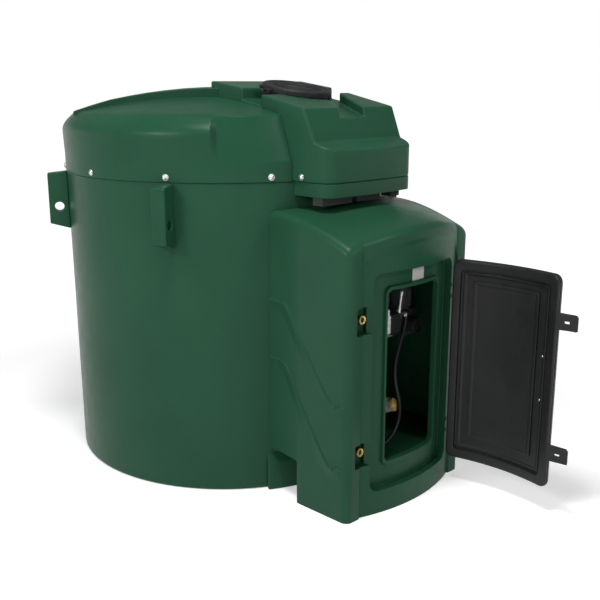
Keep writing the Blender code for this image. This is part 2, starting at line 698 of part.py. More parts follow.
def hood_columns():
    """Return the hood's outside as columns of points from back to front, one for each station."""
    columns = []
    back = CABINET_SIDE[0][1]
    for station in HOOD_STATIONS:
        front = front_edge(station * CABINET_SIDE[-1][0]) - HOOD_OVERHANG
        column = []
        for index in range(HOOD_ROWS + 1):
            y = back + (front - back) * index / HOOD_ROWS
            x = station * (side_half_width(y) + HOOD_OVERHANG / 2)
            column.append((x, y, hood_height(x, y)))
        columns.append(column)
    return columns


def hood_solid():
    """Make the hood, a sheet of even upright thickness."""
    rings = []
    for column in hood_columns():
        rings.append([(x, y, z - SHELL) for x, y, z in column] + column[::-1])
    return loft("cabinet_hood", rings, GREEN, split=True)


def above_hood_cutter():
    """Make the space from just under the hood upwards, wider than the hood on every side."""
    margin = HOOD_CUT_MARGIN
    columns = []
    for column in hood_columns():
        (first_x, first_y, first_z), (last_x, last_y, last_z) = column[0], column[-1]
        columns.append([(first_x, first_y + margin, first_z), *column, (last_x, last_y - margin, last_z)])
    low_side = [(x - margin, y, z) for x, y, z in columns[0]]
    high_side = [(x + margin, y, z) for x, y, z in columns[-1]]
    rings = []
    for column in [low_side, *columns, high_side]:
        sunk = [(x, y, z - SHELL - GAP) for x, y, z in column]
        rings.append(sunk + [(x, y, WALL_TOP + BEYOND) for x, y, _ in reversed(column)])
    return loft("above_hood", rings, None, split=True)


def post_outline():
    """Return the plan of the right front post.

    It runs from the side panel round the corner, over the bulge's edge and into the recess.
    """
    wide, rear = CABINET_SIDE[-1]
    centre = (wide - CABINET_CORNER_RADIUS, PILASTER_FRONT + CABINET_CORNER_RADIUS)
    turns = [pi / 2 * index / CORNER_STEPS for index in range(CORNER_STEPS + 1)]

    def corner(radius):
        return [(centre[0] + radius * cos(turn), centre[1] - radius * sin(turn)) for turn in turns]

    edge, face = PILASTER_EDGE[0], RECESS_HALF_WIDTH
    inner, back = BULGE_RADIUS - SHELL, RECESS_RADIUS - SHELL
    outside = [(wide, rear - GAP), *corner(CABINET_CORNER_RADIUS), PILASTER_TURN, PILASTER_EDGE,
               (face, bulge_y(BULGE_RADIUS, face)), (face, bulge_y(back, face))]
    inside = [(face + SHELL, bulge_y(back, face + SHELL)), (face + SHELL, bulge_y(inner, face + SHELL)),
              (edge, bulge_y(inner, edge)), *reversed(corner(CABINET_CORNER_RADIUS - SHELL)),
              (wide - SHELL, rear - GAP)]
    return outside + inside


def side_outline():
    """Return the plan of the right side panel."""
    inside = [(x - SHELL, y) for x, y in reversed(CABINET_SIDE)]
    return [*CABINET_SIDE, *inside]


def build_cabinet_shell(tank):
    """Make the cabinet's sides, pilasters, jambs, front, floor and hood."""
    above_hood = above_hood_cutter()
    cut(hood_solid(), tank)

    trays, pockets = build_pockets()
    notches = []
    for word, middle in HINGE_HEIGHTS.items():
        reach = HINGE_REACH + HINGE_NOTCH_MARGIN
        notches.append(box(f"hinge_notch_{word}", (RECESS_HALF_WIDTH - GAP, CUT_FRONT, middle - reach),
                           (HINGE_NOTCH_EDGE, HINGE_BLOCK_FRONT + GAP, middle + reach), None))
    side_notch = box("side_notch", (-1.0, SIDE_NOTCH_FRONT, -BEYOND), (1.0, 0.0, SIDE_NOTCH_TOP), None)

    outlines = {"cabinet_side": side_outline(), "front_post": post_outline()}
    for stem, outline in outlines.items():
        for word in ("left", "right"):
            plan = outline if word == "right" else mirror_outline(outline)
            piece = prism(f"{stem}_{word}", plan, 0.0, WALL_TOP, GREEN)
            cut(piece, above_hood)
            if stem == "cabinet_side":
                cut(piece, tank, side_notch)
            elif word == "left":
                cut(add(piece, *trays), *pockets)
            else:
                cut(piece, *notches)

    edge = RECESS_HALF_WIDTH - GAP
    face, sunk = BULGE_RADIUS, RECESS_RADIUS
    header = [(face, RECESS_TOP), (sunk, RECESS_TOP), (sunk, OPENING_TOP), (sunk - SHELL, OPENING_TOP),
              (sunk - SHELL, RECESS_TOP + SHELL), (face - SHELL, RECESS_TOP + SHELL),
              (face - SHELL, WALL_TOP), (face, WALL_TOP)]
    cut(front_sweep("front_header", (-edge, edge), header, GREEN), above_hood)
    sill = [(face, 0.0), (face, RECESS_FOOT), (sunk, RECESS_FOOT), (sunk, OPENING_FOOT),
            (sunk - SHELL, OPENING_FOOT), (sunk - SHELL, RECESS_FOOT - SHELL),
            (face - SHELL, RECESS_FOOT - SHELL), (face - SHELL, 0.0)]
    front_sweep("front_sill", (-edge, edge), sill, GREEN)
    foot, top = OPENING_FOOT + GAP, OPENING_TOP - GAP
    strip = [(sunk, foot), (sunk, top), (sunk - SHELL, top), (sunk - SHELL, foot)]
    front_sweep("frame_left", (-edge, -OPENING_HALF_WIDTH), strip, GREEN, FRAME_STEPS)
    front_sweep("frame_right", (OPENING_HALF_WIDTH, edge), strip, GREEN, FRAME_STEPS)

    lip = [(sunk + GAP, LIP_FOOT), (LIP_RADIUS, LIP_FOOT), (LIP_RADIUS, LIP_TOP), (sunk + GAP, LIP_TOP)]
    opening = box("opening", (-OPENING_HALF_WIDTH, CUT_FRONT, OPENING_FOOT),
                  (OPENING_HALF_WIDTH, CUT_BACK, OPENING_TOP), None)
    cut(front_sweep("opening_lip", (-LIP_HALF_WIDTH, LIP_HALF_WIDTH), lip, GREEN), opening)

    build_cabinet_floor(tank)


def build_cabinet_floor(tank):
    """Make the cabinet's floor, which lies inside the shell at the level of the side notch."""
    inset = SHELL + GAP
    back_radius = RECESS_RADIUS - inset - GAP
    half = RECESS_HALF_WIDTH + inset
    right = [(x - inset, y) for x, y in CABINET_SIDE]
    depth = PILASTER_FRONT + CABINET_CORNER_RADIUS + GAP
    right += [(CABINET_SIDE[-1][0] - inset, depth), (half, depth)]
    right += [(half * share, bulge_y(back_radius, half * share)) for share in FLOOR_FRONT_SHARES]
    outline = right + mirror_outline(right[:-1])
    floor = prism("cabinet_floor", outline, SIDE_NOTCH_TOP + GAP,
                  SIDE_NOTCH_TOP + CABINET_FLOOR_THICKNESS, GREEN)
    cut(floor, tank)


def build_pockets():
    """Make the solid of each latch pocket behind the left post, and the cutter that hollows it."""
    edge, skin = POCKET_EDGES[0] - POCKET_SKIN, POCKET_SKIN
    middle = BULGE_RADIUS - SHELL / 2
    front = PILASTER_FRONT + SHELL / 2
    back = POCKET_DEPTH_Y + skin
    bends = [PILASTER_EDGE[0], (PILASTER_EDGE[0] + RECESS_HALF_WIDTH) / 2, RECESS_HALF_WIDTH + GAP]
    outline = [(edge, back), (edge, front), (-PILASTER_TURN[0], front)]
    outline += [(-x, bulge_y(middle, x)) for x in bends] + [(-bends[-1], back)]
    trays, pockets = [], []
    for word, (foot, top) in POCKET_HEIGHTS.items():
        trays.append(prism(f"pocket_tray_{word}", outline, foot - skin, top + skin, None))
        pockets.append(box(f"pocket_space_{word}", (POCKET_EDGES[0], PILASTER_FRONT - BEYOND, foot),
                           (POCKET_EDGES[1] + BEYOND, POCKET_DEPTH_Y, top), None))
        lock = rod_along_y(f"lock_{word}", (LOCK_CENTRE_X, LOCK_CENTRES[word]), LOCK_RADIUS,
                           (POCKET_DEPTH_Y - LOCK_DEPTH, POCKET_DEPTH_Y - GAP), LOCK_SIDES, BRASS)
        lock.data.shade_smooth()
    return trays, pockets


def ride_on(pivot, *pieces):
    """Give pieces the pivot as their parent, with their origin on its axis."""
    for piece in pieces:
        piece.data.transform(Matrix.Translation(-pivot.location))
        piece.parent = pivot


def upright_rod(name, radius, low, high, sides, finish):
    """Make a round bar on the door's hinge axis."""
    return prism(name, circle(HINGE_AXIS, radius, sides), low, high, finish)


def build_hinges(pivot, panel):
    """Make the fixed hinge blocks with their pins, and join the knuckles to the door's panel."""
    axis_x, axis_y = HINGE_AXIS
    for word, middle in HINGE_HEIGHTS.items():
        block = box(f"hinge_{word}", (RECESS_HALF_WIDTH + SHELL + GAP, HINGE_BLOCK_FRONT,
                                      middle - HINGE_REACH),
                    (HINGE_BLOCK_EDGE, HINGE_BLOCK_BACK, middle + HINGE_REACH), STEEL)
        clearance = KNUCKLE_HALF + KNUCKLE_GAP
        web_edge = HINGE_NOTCH_EDGE - HINGE_NOTCH_MARGIN
        for end, low, high in (("top", middle + clearance, middle + HINGE_REACH),
                               ("foot", middle - HINGE_REACH, middle - clearance)):
            ear = upright_rod(f"hinge_ear_{word}_{end}", KNUCKLE_RADIUS, low, high, PIN_SIDES, None)
            web = box(f"hinge_web_{word}_{end}", (axis_x + PIN_RADIUS, axis_y, low),
                      (web_edge, HINGE_BLOCK_BACK + GAP, high), None)
            add(block, web, ear)
        pin = upright_rod(f"hinge_pin_{word}", PIN_RADIUS, middle - HINGE_REACH + GAP,
                          middle + HINGE_REACH - GAP, PIN_SIDES, None)
        add(block, pin)

        knuckle = upright_rod(f"knuckle_{word}", KNUCKLE_RADIUS, middle - KNUCKLE_HALF,
                              middle + KNUCKLE_HALF, PIN_SIDES, None)
        arm = box(f"knuckle_arm_{word}",
                  (DOOR_EDGES[1] - KNUCKLE_RADIUS, KNUCKLE_ARM[0], middle - KNUCKLE_HALF + GAP),
                  (axis_x, KNUCKLE_ARM[1], middle + KNUCKLE_HALF - GAP), None)
        bore = upright_rod(f"knuckle_bore_{word}", PIN_BORE, middle - HINGE_REACH, middle + HINGE_REACH,
                           PIN_SIDES, None)
        ride_on(pivot, knuckle, arm, bore)
        cut(add(panel, arm, knuckle), bore)


def build_door():
    """Make the bowed door with its groove, liner and latch tabs, stored open on its hinges."""
    pivot = bpy.data.objects.new("door_pivot", None)
    bpy.context.scene.collection.objects.link(pivot)
    pivot.location = (*HINGE_AXIS, 0.0)
    pivot.rotation_euler = (0.0, 0.0, radians(DOOR_OPEN))

    back, face = DOOR_BACK_RADIUS, BULGE_RADIUS
    slab = [(back, DOOR_FOOT), (face, DOOR_FOOT), (face, DOOR_TOP), (back, DOOR_TOP)]
    panel = front_sweep("door_panel", DOOR_EDGES, slab, CHARCOAL)
    low, high = GROOVE_HEIGHTS
    groove = [(back - BEYOND, low), (GROOVE_RADIUS, low), (GROOVE_RADIUS, high), (back - BEYOND, high)]
    groove_cutter = front_sweep("door_groove", GROOVE_EDGES, groove, None)
    corners = []
    for x, inward_x in ((DOOR_EDGES[0], 1), (DOOR_EDGES[1], -1)):
        for z, inward_z in ((DOOR_FOOT, 1), (DOOR_TOP, -1)):
            centre = (x + inward_x * DOOR_CORNER, z + inward_z * DOOR_CORNER)
            outline = [(x - inward_x * DOOR_CORNER_MARGIN, z - inward_z * DOOR_CORNER_MARGIN)]
            for index in range(CORNER_STEPS + 1):
                turn = pi / 2 * index / CORNER_STEPS
                outline.append((centre[0] - inward_x * DOOR_CORNER * sin(turn),
                                centre[1] - inward_z * DOOR_CORNER * cos(turn)))
            outline.insert(1, (centre[0], z - inward_z * DOOR_CORNER_MARGIN))
            outline.append((x - inward_x * DOOR_CORNER_MARGIN, centre[1]))
            name = f"door_corner_{'left' if inward_x > 0 else 'right'}_{'low' if inward_z > 0 else 'high'}"
            rings = [[(px, y, pz) for px, pz in outline] for y in (CUT_FRONT, CUT_BACK)]
            corners.append(loft(name, rings, None))
    low, high = LINER_HEIGHTS
    seat = GROOVE_RADIUS - BOW_GAP
    pad = [(LINER_RADIUS, low), (seat, low), (seat, high), (LINER_RADIUS, high)]
    liner = front_sweep("door_liner", LINER_EDGES, pad, CHARCOAL)
    ride_on(pivot, panel, groove_cutter, liner, *corners)
    cut(panel, groove_cutter, *corners)

    for name, (foot, top) in TAB_HEIGHTS.items():
        tab = box(name, (-TAB_REACH, TAB_DEPTHS[0], foot), (DOOR_EDGES[0] - GAP, TAB_DEPTHS[1], top),
                  CHARCOAL)
        middle = (foot + top) / 2
        half_x, half_z = TAB_SLOT[0] / 2, TAB_SLOT[1] / 2
        slot = box(f"{name}_slot", (TAB_SLOT_CENTRE_X - half_x, CUT_FRONT, middle - half_z),
                   (TAB_SLOT_CENTRE_X + half_x, CUT_BACK, middle + half_z), None)
        ride_on(pivot, tab, slot)
        cut(tab, slot)
    return pivot, panel


def build_plate():
    """Make the blank plate above the opening."""
    low, high = RECESS_RADIUS + GAP, RECESS_RADIUS + GAP + PLATE_THICKNESS
    foot, top = PLATE_CENTRE[1] - PLATE_HALF[1], PLATE_CENTRE[1] + PLATE_HALF[1]
    profile = [(low, foot), (high, foot), (high, top), (low, top)]
    edges = (PLATE_CENTRE[0] - PLATE_HALF[0], PLATE_CENTRE[0] + PLATE_HALF[0])
    front_sweep("blank_plate", edges, profile, SILVER, PLATE_STEPS)


def build_pump(tank):
    """Make the pump set: bracket, body, motor, meter and outlet elbow."""
    low_x, high_x = BRACKET_EDGES
    skin, front, back = BRACKET_SKIN, BRACKET_FRONT, INTO_TANK
    outline = [(low_x, back), (low_x, front), (high_x, front), (high_x, back), (high_x - skin, back),
               (high_x - skin, front + skin), (low_x + skin, front + skin), (low_x + skin, back)]
    bracket = prism("pump_bracket", outline, *BRACKET_HEIGHTS, STEEL)
    cut(add(bracket, box("nozzle_holder", *HOLDER, None)), tank)
    body = bevel(box("pump_body", *PUMP_BODY, PUMP_GREY), PUMP_BEVEL)
    add(body, box("outlet_arm", *OUTLET_ARM, None))
    prism("pump_motor", circle(MOTOR_CENTRE, MOTOR_RADIUS, ROUND_SIDES), *MOTOR_HEIGHTS, PUMP_GREY)
    rod_along_y("flow_meter", METER_CENTRE, METER_RADIUS, METER_DEPTHS, ROUND_SIDES, BLACK)


def build_nozzle():
    """Make the nozzle that stands against the holder on the pump bracket."""
    prism("nozzle", circle((NOZZLE_X, NOZZLE_Y), NOZZLE_RADIUS, LOCK_SIDES), *NOZZLE_HEIGHTS, STEEL)


def build_fill_point(tank):
    """Make the filling pipe out of the tank wall and the brass cap on its end."""
    pipe = rod_along_y("fill_pipe", (FILL_PIPE_X, FILL_PIPE_HEIGHT), FILL_PIPE_RADIUS,
                       (FILL_PIPE_FRONT, INTO_TANK), ROUND_SIDES, STEEL)
    cut(pipe, tank)
    front = FILL_PIPE_FRONT - GAP
    cap = rod_along_y("coupling_cap", (FILL_PIPE_X, FILL_PIPE_HEIGHT), CAP_RADIUS,
                      (front - CAP_DEPTH, front), ROUND_SIDES, BRASS)
    ears = []
    for word, side in (("high", 1), ("low", -1)):
        middle = FILL_PIPE_HEIGHT + side * (CAP_RADIUS + CAP_EAR[1] / 2 - CAP_EAR[2] / 4)
        ears.append(box(f"cap_ear_{word}", (FILL_PIPE_X - CAP_EAR[0], front - CAP_DEPTH / 2,
                                            middle - CAP_EAR[1] / 2),
                        (FILL_PIPE_X + CAP_EAR[0], front - CAP_DEPTH / 2 + CAP_EAR[2],
                         middle + CAP_EAR[1] / 2), None))
    add(cap, *ears)


def smooth_route(points, count):
    """Return points read at even steps along a smooth curve through the route's own points."""
    vectors = [Vector(point) for point in points]
    padded = [2 * vectors[0] - vectors[1], *vectors, 2 * vectors[-1] - vectors[-2]]
    dense = []
    for before, start, end, after in zip(padded, padded[1:], padded[2:], padded[3:]):
        for index in range(ROUTE_FINENESS):
            share = index / ROUTE_FINENESS
            dense.append(0.5 * (2 * start + (end - before) * share
                                + (2 * before - 5 * start + 4 * end - after) * share ** 2
                                + (3 * start - before - 3 * end + after) * share ** 3))
    dense.append(vectors[-1])
    lengths = [0.0]
    for start, end in zip(dense, dense[1:]):
        lengths.append(lengths[-1] + (end - start).length)
    chosen, position = [], 0
    for index in range(count):
        target = lengths[-1] * index / (count - 1)
        while position < len(lengths) - 2 and lengths[position + 1] < target:
            position += 1
        span = lengths[position + 1] - lengths[position]
        chosen.append(dense[position].lerp(dense[position + 1], (target - lengths[position]) / span))
    return chosen


def build_hose():
    """Make the delivery hose from the pump down to the floor, over its hook and to the nozzle."""
    curve = bpy.data.curves.new("delivery_hose", "CURVE")
    curve.dimensions = "3D"
    curve.bevel_depth = HOSE_RADIUS
    curve.bevel_resolution = 2
    curve.use_fill_caps = True
    spline = curve.splines.new("POLY")
    points = smooth_route(HOSE_ROUTE, HOSE_POINTS)
    spline.points.add(len(points) - 1)
    for target, point in zip(spline.points, points):
        target.co = (*point, 1.0)
    add_object("delivery_hose", curve, RUBBER)


def build_hose_hook(tank):
    """Make the saddle on the tank wall that carries the hose."""
    saddle = rod_along_y("hose_hook", HOOK_CENTRE, HOOK_RADIUS, (HOOK_FRONT, INTO_TANK), ROUND_SIDES,
                         BLACK)
    cut(saddle, tank)


def clear_scene():
    """Remove every object of the open scene."""
    for existing in list(bpy.data.objects):
        bpy.data.objects.remove(existing, do_unlink=True)


def main():
    """Build the whole tank."""
    clear_scene()
    tank = tank_clearance_cutter()
    build_bund()
    build_roof(build_spine(GAP))
    build_nose_band(tank)
    build_manhole()
    build_lugs(tank)
    build_cabinet_shell(tank)
    build_hinges(*build_door())
    build_plate()
    build_pump(tank)
    build_nozzle()
    build_fill_point(tank)
    build_hose_hook(tank)
    build_hose()


main()
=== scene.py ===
"""Looks of the round bunded storage tank with its dispensing cabinet.

Every size is in metres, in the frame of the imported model: +Z up, the ground at zero, the tank's
axis at the origin and the cabinet on the side of -Y.
"""
import json
import logging
from dataclasses import dataclass
from enum import Enum
from math import atan, atan2, cos, degrees, pi, radians, sin, sqrt
from typing import Callable, Sequence

import bmesh
import bpy
from mathutils import Matrix, Vector


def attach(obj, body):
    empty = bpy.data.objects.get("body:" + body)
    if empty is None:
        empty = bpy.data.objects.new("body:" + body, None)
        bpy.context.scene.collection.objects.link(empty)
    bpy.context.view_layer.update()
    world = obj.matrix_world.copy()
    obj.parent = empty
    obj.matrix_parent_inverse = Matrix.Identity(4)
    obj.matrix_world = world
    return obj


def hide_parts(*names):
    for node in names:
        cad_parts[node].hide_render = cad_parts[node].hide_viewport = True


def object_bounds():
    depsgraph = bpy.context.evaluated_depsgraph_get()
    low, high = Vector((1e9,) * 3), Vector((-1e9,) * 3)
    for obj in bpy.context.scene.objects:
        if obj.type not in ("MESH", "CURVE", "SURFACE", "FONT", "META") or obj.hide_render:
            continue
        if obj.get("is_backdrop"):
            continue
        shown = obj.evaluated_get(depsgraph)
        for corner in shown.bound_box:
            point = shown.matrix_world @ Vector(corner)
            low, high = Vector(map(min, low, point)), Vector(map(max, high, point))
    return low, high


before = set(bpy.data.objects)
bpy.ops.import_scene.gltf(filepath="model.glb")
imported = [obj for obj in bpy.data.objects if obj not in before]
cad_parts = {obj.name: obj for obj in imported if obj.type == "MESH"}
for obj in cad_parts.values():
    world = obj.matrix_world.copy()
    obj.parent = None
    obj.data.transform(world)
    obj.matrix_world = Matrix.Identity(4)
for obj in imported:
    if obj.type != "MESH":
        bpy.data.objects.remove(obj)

LOG = logging.getLogger("storage_tank")
CAD_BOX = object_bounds()

Triple = tuple[float, float, float]
Pair = tuple[float, float]
Box = tuple[Triple, Triple]
Profile = tuple[Pair, ...]
Shape = bmesh.types.BMesh
Piece = bpy.types.Object

UP = Vector((0.0, 0.0, 1.0))
RIGHT = Vector((1.0, 0.0, 0.0))
FORWARD = Vector((0.0, -1.0, 0.0))
SHELL = 0.012
WELD = 0.00002
FLAT_ANGLE = 0.6
QUARTER_TURN = 90.0
HALF_TURN = 180.0
FULL_TURN = 360.0
CORNER_SHARE = 2.05
PLACE_DIGITS = 7
WHITE = (1.0, 1.0, 1.0, 1.0)
AS_IT_IS = Matrix.Identity(4)
MIRRORED = Matrix.Scale(-1.0, 4, RIGHT)


class Part(Enum):
    """The moving bodies of the tank."""

    TANK = "tank"
    DOOR = "door"


class Slot(Enum):
    """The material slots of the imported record."""

    GREEN = "green_plastic"
    BLACK = "black_plastic"
    CHARCOAL = "charcoal_plastic"
    PACKER = "packer_grey"
    BRASS = "brass"
    STEEL = "steel"
    PLATE = "plate_metal"
    HOSE = "hose_rubber"
    PUMP = "pump_grey"


def ranged(tree: bpy.types.NodeTree, value: bpy.types.NodeSocket, taken: Pair,
           given: Pair) -> bpy.types.Node:
    """Add a node that maps one range of a value onto another.

    Args:
        tree: The material's or the world's nodes.
        value: The socket that gives the value.
        taken: The range that is taken in.
        given: The range that comes out.

    Returns:
        The node.
    """
    node = tree.nodes.new("ShaderNodeMapRange")
    for socket, amount in zip(("From Min", "From Max", "To Min", "To Max"), (*taken, *given)):
        node.inputs[socket].default_value = amount
    tree.links.new(value, node.inputs["Value"])
    return node


@dataclass(frozen=True)
class Finish:
    """A finish whose colour, polish and grain vary over the surface.

    Attributes:
        name: The material's name.
        slot: The record's slot that it belongs to.
        dark: Triple of the darker patches.
        light: Triple of the lighter patches.
        polish: Lowest and highest roughness.
        metallic: One for bare metal.
        shine: Strength of the clear reflection.
        patch: Size of the colour patches.
        grain: Size of the fine grain.
        grain_depth: Height of the fine grain.
        wave: Size of the shallow waves of a moulded face.
        wave_depth: Height of those waves.
        stretch: How the pattern is squeezed along each axis.
    """

    name: str
    slot: Slot
    dark: Triple
    light: Triple
    polish: Pair
    metallic: float = 0.0
    shine: float = 0.16
    patch: float = 0.35
    grain: float = 0.0025
    grain_depth: float = 0.00012
    wave: float = 0.30
    wave_depth: float = 0.0
    stretch: Triple = (1.0, 1.0, 1.0)

    PATCH_STOPS = (0.35, 0.65)
    PATCH_DETAIL = 4.0
    RUB_RANGE = (0.3, 0.7)
    RUBS_PER_PATCH = 6.0
    RUB_DETAIL = 5.0
    WAVE_DETAIL = 1.0
    GRAIN_DETAIL = 2.0

    def material(self) -> bpy.types.Material:
        """Make the material the first time that it is asked for.

        Returns:
            The material.
        """
        found = bpy.data.materials.get(self.name)
        if found:
            return found
        made = bpy.data.materials.new(self.name)
        made.use_nodes = True
        tree = made.node_tree
        shader = tree.nodes["Principled BSDF"]
        shader.inputs["Metallic"].default_value = self.metallic
        shader.inputs["Specular IOR Level"].default_value = self.shine
        where = tree.nodes.new("ShaderNodeTexCoord")
        turn = tree.nodes.new("ShaderNodeMapping")
        turn.inputs["Scale"].default_value = self.stretch
        tree.links.new(where.outputs["Object"], turn.inputs["Vector"])

        def noise(size: float, detail: float) -> bpy.types.NodeSocket:
            """Add a noise of one size.

            Args:
                size: The size of its patches.
                detail: How many finer layers it has.

            Returns:
                The socket that gives its factor.
            """
            made_noise = tree.nodes.new("ShaderNodeTexNoise")
            made_noise.inputs["Scale"].default_value = 1.0 / size
            made_noise.inputs["Detail"].default_value = detail
            tree.links.new(turn.outputs["Vector"], made_noise.inputs["Vector"])
            return made_noise.outputs["Fac"]

        patches = noise(self.patch, self.PATCH_DETAIL)
        ramp = tree.nodes.new("ShaderNodeValToRGB")
        for stop, place, colour in zip(ramp.color_ramp.elements, self.PATCH_STOPS, (self.dark, self.light)):
            stop.position = place
            stop.color = (*colour, 1.0)
        tree.links.new(patches, ramp.inputs["Fac"])
        tree.links.new(ramp.outputs["Color"], shader.inputs["Base Color"])

        wear = noise(self.patch / self.RUBS_PER_PATCH, self.RUB_DETAIL)
        rub = ranged(tree, wear, self.RUB_RANGE, self.polish)
        tree.links.new(rub.outputs["Result"], shader.inputs["Roughness"])

        normal = None
        for size, depth, detail in ((self.wave, self.wave_depth, self.WAVE_DETAIL),
                                    (self.grain, self.grain_depth, self.GRAIN_DETAIL)):
            if depth:
                bump = tree.nodes.new("ShaderNodeBump")
                bump.inputs["Distance"].default_value = depth
                tree.links.new(noise(size, detail), bump.inputs["Height"])
                if normal:
                    tree.links.new(normal, bump.inputs["Normal"])
                normal = bump.outputs["Normal"]
        if normal:
            tree.links.new(normal, shader.inputs["Normal"])
        return made


GREEN = Finish("moulded_green", Slot.GREEN, (0.0105, 0.0520, 0.0265), (0.0130, 0.0590, 0.0305),
               (0.30, 0.38), shine=0.10, patch=0.45, grain=0.0030, grain_depth=0.00010, wave=0.22,
               wave_depth=0.0012)
# A darker, duller copy of the moulded green for hollows and walls that lie in shade: painted shade, the same
# plastic as GREEN.
GREEN_PAINTED_SHADE = Finish("moulded_green_painted_shade", Slot.GREEN, (0.0075, 0.0380, 0.0190),
                     (0.0090, 0.0430, 0.0220), (0.44, 0.56), shine=0.08, grain=0.0030, grain_depth=0.00012)
BLACK = Finish("moulded_black", Slot.BLACK, (0.0120, 0.0125, 0.0135), (0.0180, 0.0185, 0.0195),
               (0.42, 0.56), shine=0.16, patch=0.08, grain=0.0016, grain_depth=0.00022)
CHARCOAL = Finish("moulded_charcoal", Slot.CHARCOAL, (0.0095, 0.0098, 0.0100), (0.0130, 0.0133, 0.0136),
                  (0.32, 0.44), shine=0.24, patch=0.25, grain=0.0020, grain_depth=0.00014, wave=0.18,
                  wave_depth=0.0006)
FOAM = Finish("packer_foam", Slot.PACKER, (0.0260, 0.0300, 0.0270), (0.0380, 0.0430, 0.0390),
              (0.80, 0.92), patch=0.02, grain=0.0022, grain_depth=0.00060)
BRASS = Finish("turned_brass", Slot.BRASS, (0.6000, 0.4000, 0.1000), (0.8000, 0.5700, 0.1800),
               (0.24, 0.40), metallic=0.55, patch=0.015, grain=0.0010, grain_depth=0.00004)
ZINC = Finish("plated_steel", Slot.STEEL, (0.5400, 0.5500, 0.5600), (0.7200, 0.7300, 0.7400),
              (0.24, 0.38), metallic=1.0, patch=0.012, grain=0.0008, grain_depth=0.00003)
HINGE_STEEL = Finish("blackened_steel", Slot.STEEL, (0.0150, 0.0150, 0.0155), (0.0240, 0.0240, 0.0250),
                     (0.40, 0.52), metallic=0.4, patch=0.012, grain=0.0008, grain_depth=0.00003)
CAP_BRASS = Finish("bright_brass", Slot.BRASS, (0.7800, 0.5300, 0.1300), (0.9600, 0.7200, 0.2400),
                   (0.24, 0.40), metallic=0.1, shine=0.6, patch=0.010, grain=0.0010, grain_depth=0.00004)
CHROME = Finish("bright_chrome", Slot.STEEL, (0.7800, 0.7900, 0.8000), (0.9200, 0.9300, 0.9400),
                (0.12, 0.22), metallic=0.5, shine=1.0, patch=0.010, grain=0.0008, grain_depth=0.00002)
PIPE_GREY = Finish("galvanised_pipe", Slot.STEEL, (0.5400, 0.5500, 0.5600), (0.7000, 0.7100, 0.7200),
                   (0.34, 0.50), metallic=0.1, shine=0.5, patch=0.012, grain=0.0014, grain_depth=0.0001)
ALUMINIUM = Finish("cast_aluminium", Slot.STEEL, (0.4600, 0.4700, 0.4800), (0.6200, 0.6300, 0.6400),
                   (0.34, 0.50), metallic=0.35, patch=0.05, grain=0.0016, grain_depth=0.00015)
RUBBER = Finish("black_rubber", Slot.HOSE, (0.0060, 0.0060, 0.0063), (0.0090, 0.0090, 0.0094),
                (0.34, 0.46), shine=0.30, patch=0.03, grain=0.0014, grain_depth=0.00012)
PUMP_PAINT = Finish("pump_paint", Slot.PUMP, (0.0300, 0.0320, 0.0350), (0.0430, 0.0450, 0.0480),
                    (0.34, 0.48), patch=0.06, grain=0.0020, grain_depth=0.00018)
PLATE = Finish("bare_plate", Slot.PLATE, (0.4400, 0.4300, 0.4300), (0.5400, 0.5250, 0.5250),
               (0.36, 0.46), metallic=0.25, patch=0.02, grain=0.0010, grain_depth=0.00003,
               stretch=(0.2, 1.0, 1.0))


def to_piece(name: str, shape: Shape) -> Piece:
    """Turn a shape into an object at the origin, and free the shape.

    Args:
        name: The object's name.
        shape: The shape, in its place.

    Returns:
        The linked object.
    """
    mesh = bpy.data.meshes.new(name)
    shape.to_mesh(mesh)
    shape.free()
    made = bpy.data.objects.new(name, mesh)
    bpy.context.scene.collection.objects.link(made)
    return made


def to_shape(piece: Piece) -> Shape:
    """Take the shape of a piece with its modifiers applied, and remove the piece.

    Args:
        piece: The piece.

    Returns:
        Its final shape.
    """
    graph = bpy.context.evaluated_depsgraph_get()
    shape = bmesh.new()
    shape.from_object(piece, graph)
    bpy.data.objects.remove(piece)
    return shape


def settle(piece: Piece) -> None:
    """Apply all of a piece's modifiers to its mesh.

    Args:
        piece: The piece.
    """
    graph = bpy.context.evaluated_depsgraph_get()
    final = bpy.data.meshes.new_from_object(piece.evaluated_get(graph), preserve_all_data_layers=True,
                                            depsgraph=graph)
    piece.modifiers.clear()
    piece.data = final
    final.name = piece.name


def deliver(name: str, shape: Shape, finish: Finish, part: Part = Part.TANK,
            replaces: Sequence[str] = (), sharp: float = 32.0) -> Piece:
    """Finish a shape as a piece that rides on a body.

    Args:
        name: The piece's name.
        shape: The shape, in its place at rest.
        finish: What it is dressed in.
        part: The body that it rides on.
        replaces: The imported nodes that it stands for.
        sharp: Edges sharper than this many degrees stay crisp.

    Returns:
        The finished piece.
    """
    bmesh.ops.remove_doubles(shape, verts=shape.verts, dist=WELD)
    bmesh.ops.dissolve_degenerate(shape, edges=shape.edges, dist=WELD)
    piece = to_piece(name, shape)
    piece.data.shade_smooth()
    piece.data.set_sharp_from_angle(angle=radians(sharp))
    even = piece.modifiers.new("even_shading", "WEIGHTED_NORMAL")
    even.keep_sharp = True
    settle(piece)
    return dress(piece, finish, part, replaces)


def dress(piece: Piece, finish: Finish, part: Part, replaces: Sequence[str] = ()) -> Piece:
    """Give a piece its finish, its body and the nodes that it stands for.

    Args:
        piece: The piece.
        finish: What it is dressed in.
        part: The body that it rides on.
        replaces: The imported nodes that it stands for.

    Returns:
        The same piece.
    """
    piece.data.materials.clear()
    piece.data.materials.append(finish.material())
    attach(piece, part.value)
    if replaces:
        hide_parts(*replaces)
    LOG.info("%s made of %s", piece.name, finish.name)
    return piece


def outward(shape: Shape) -> Shape:
    """Turn a closed shape's faces outwards.

    Args:
        shape: The shape.

    Returns:
        The same shape.
    """
    bmesh.ops.recalc_face_normals(shape, faces=shape.faces)
    if shape.calc_volume(signed=True) < 0:
        bmesh.ops.reverse_faces(shape, faces=shape.faces)
    return shape


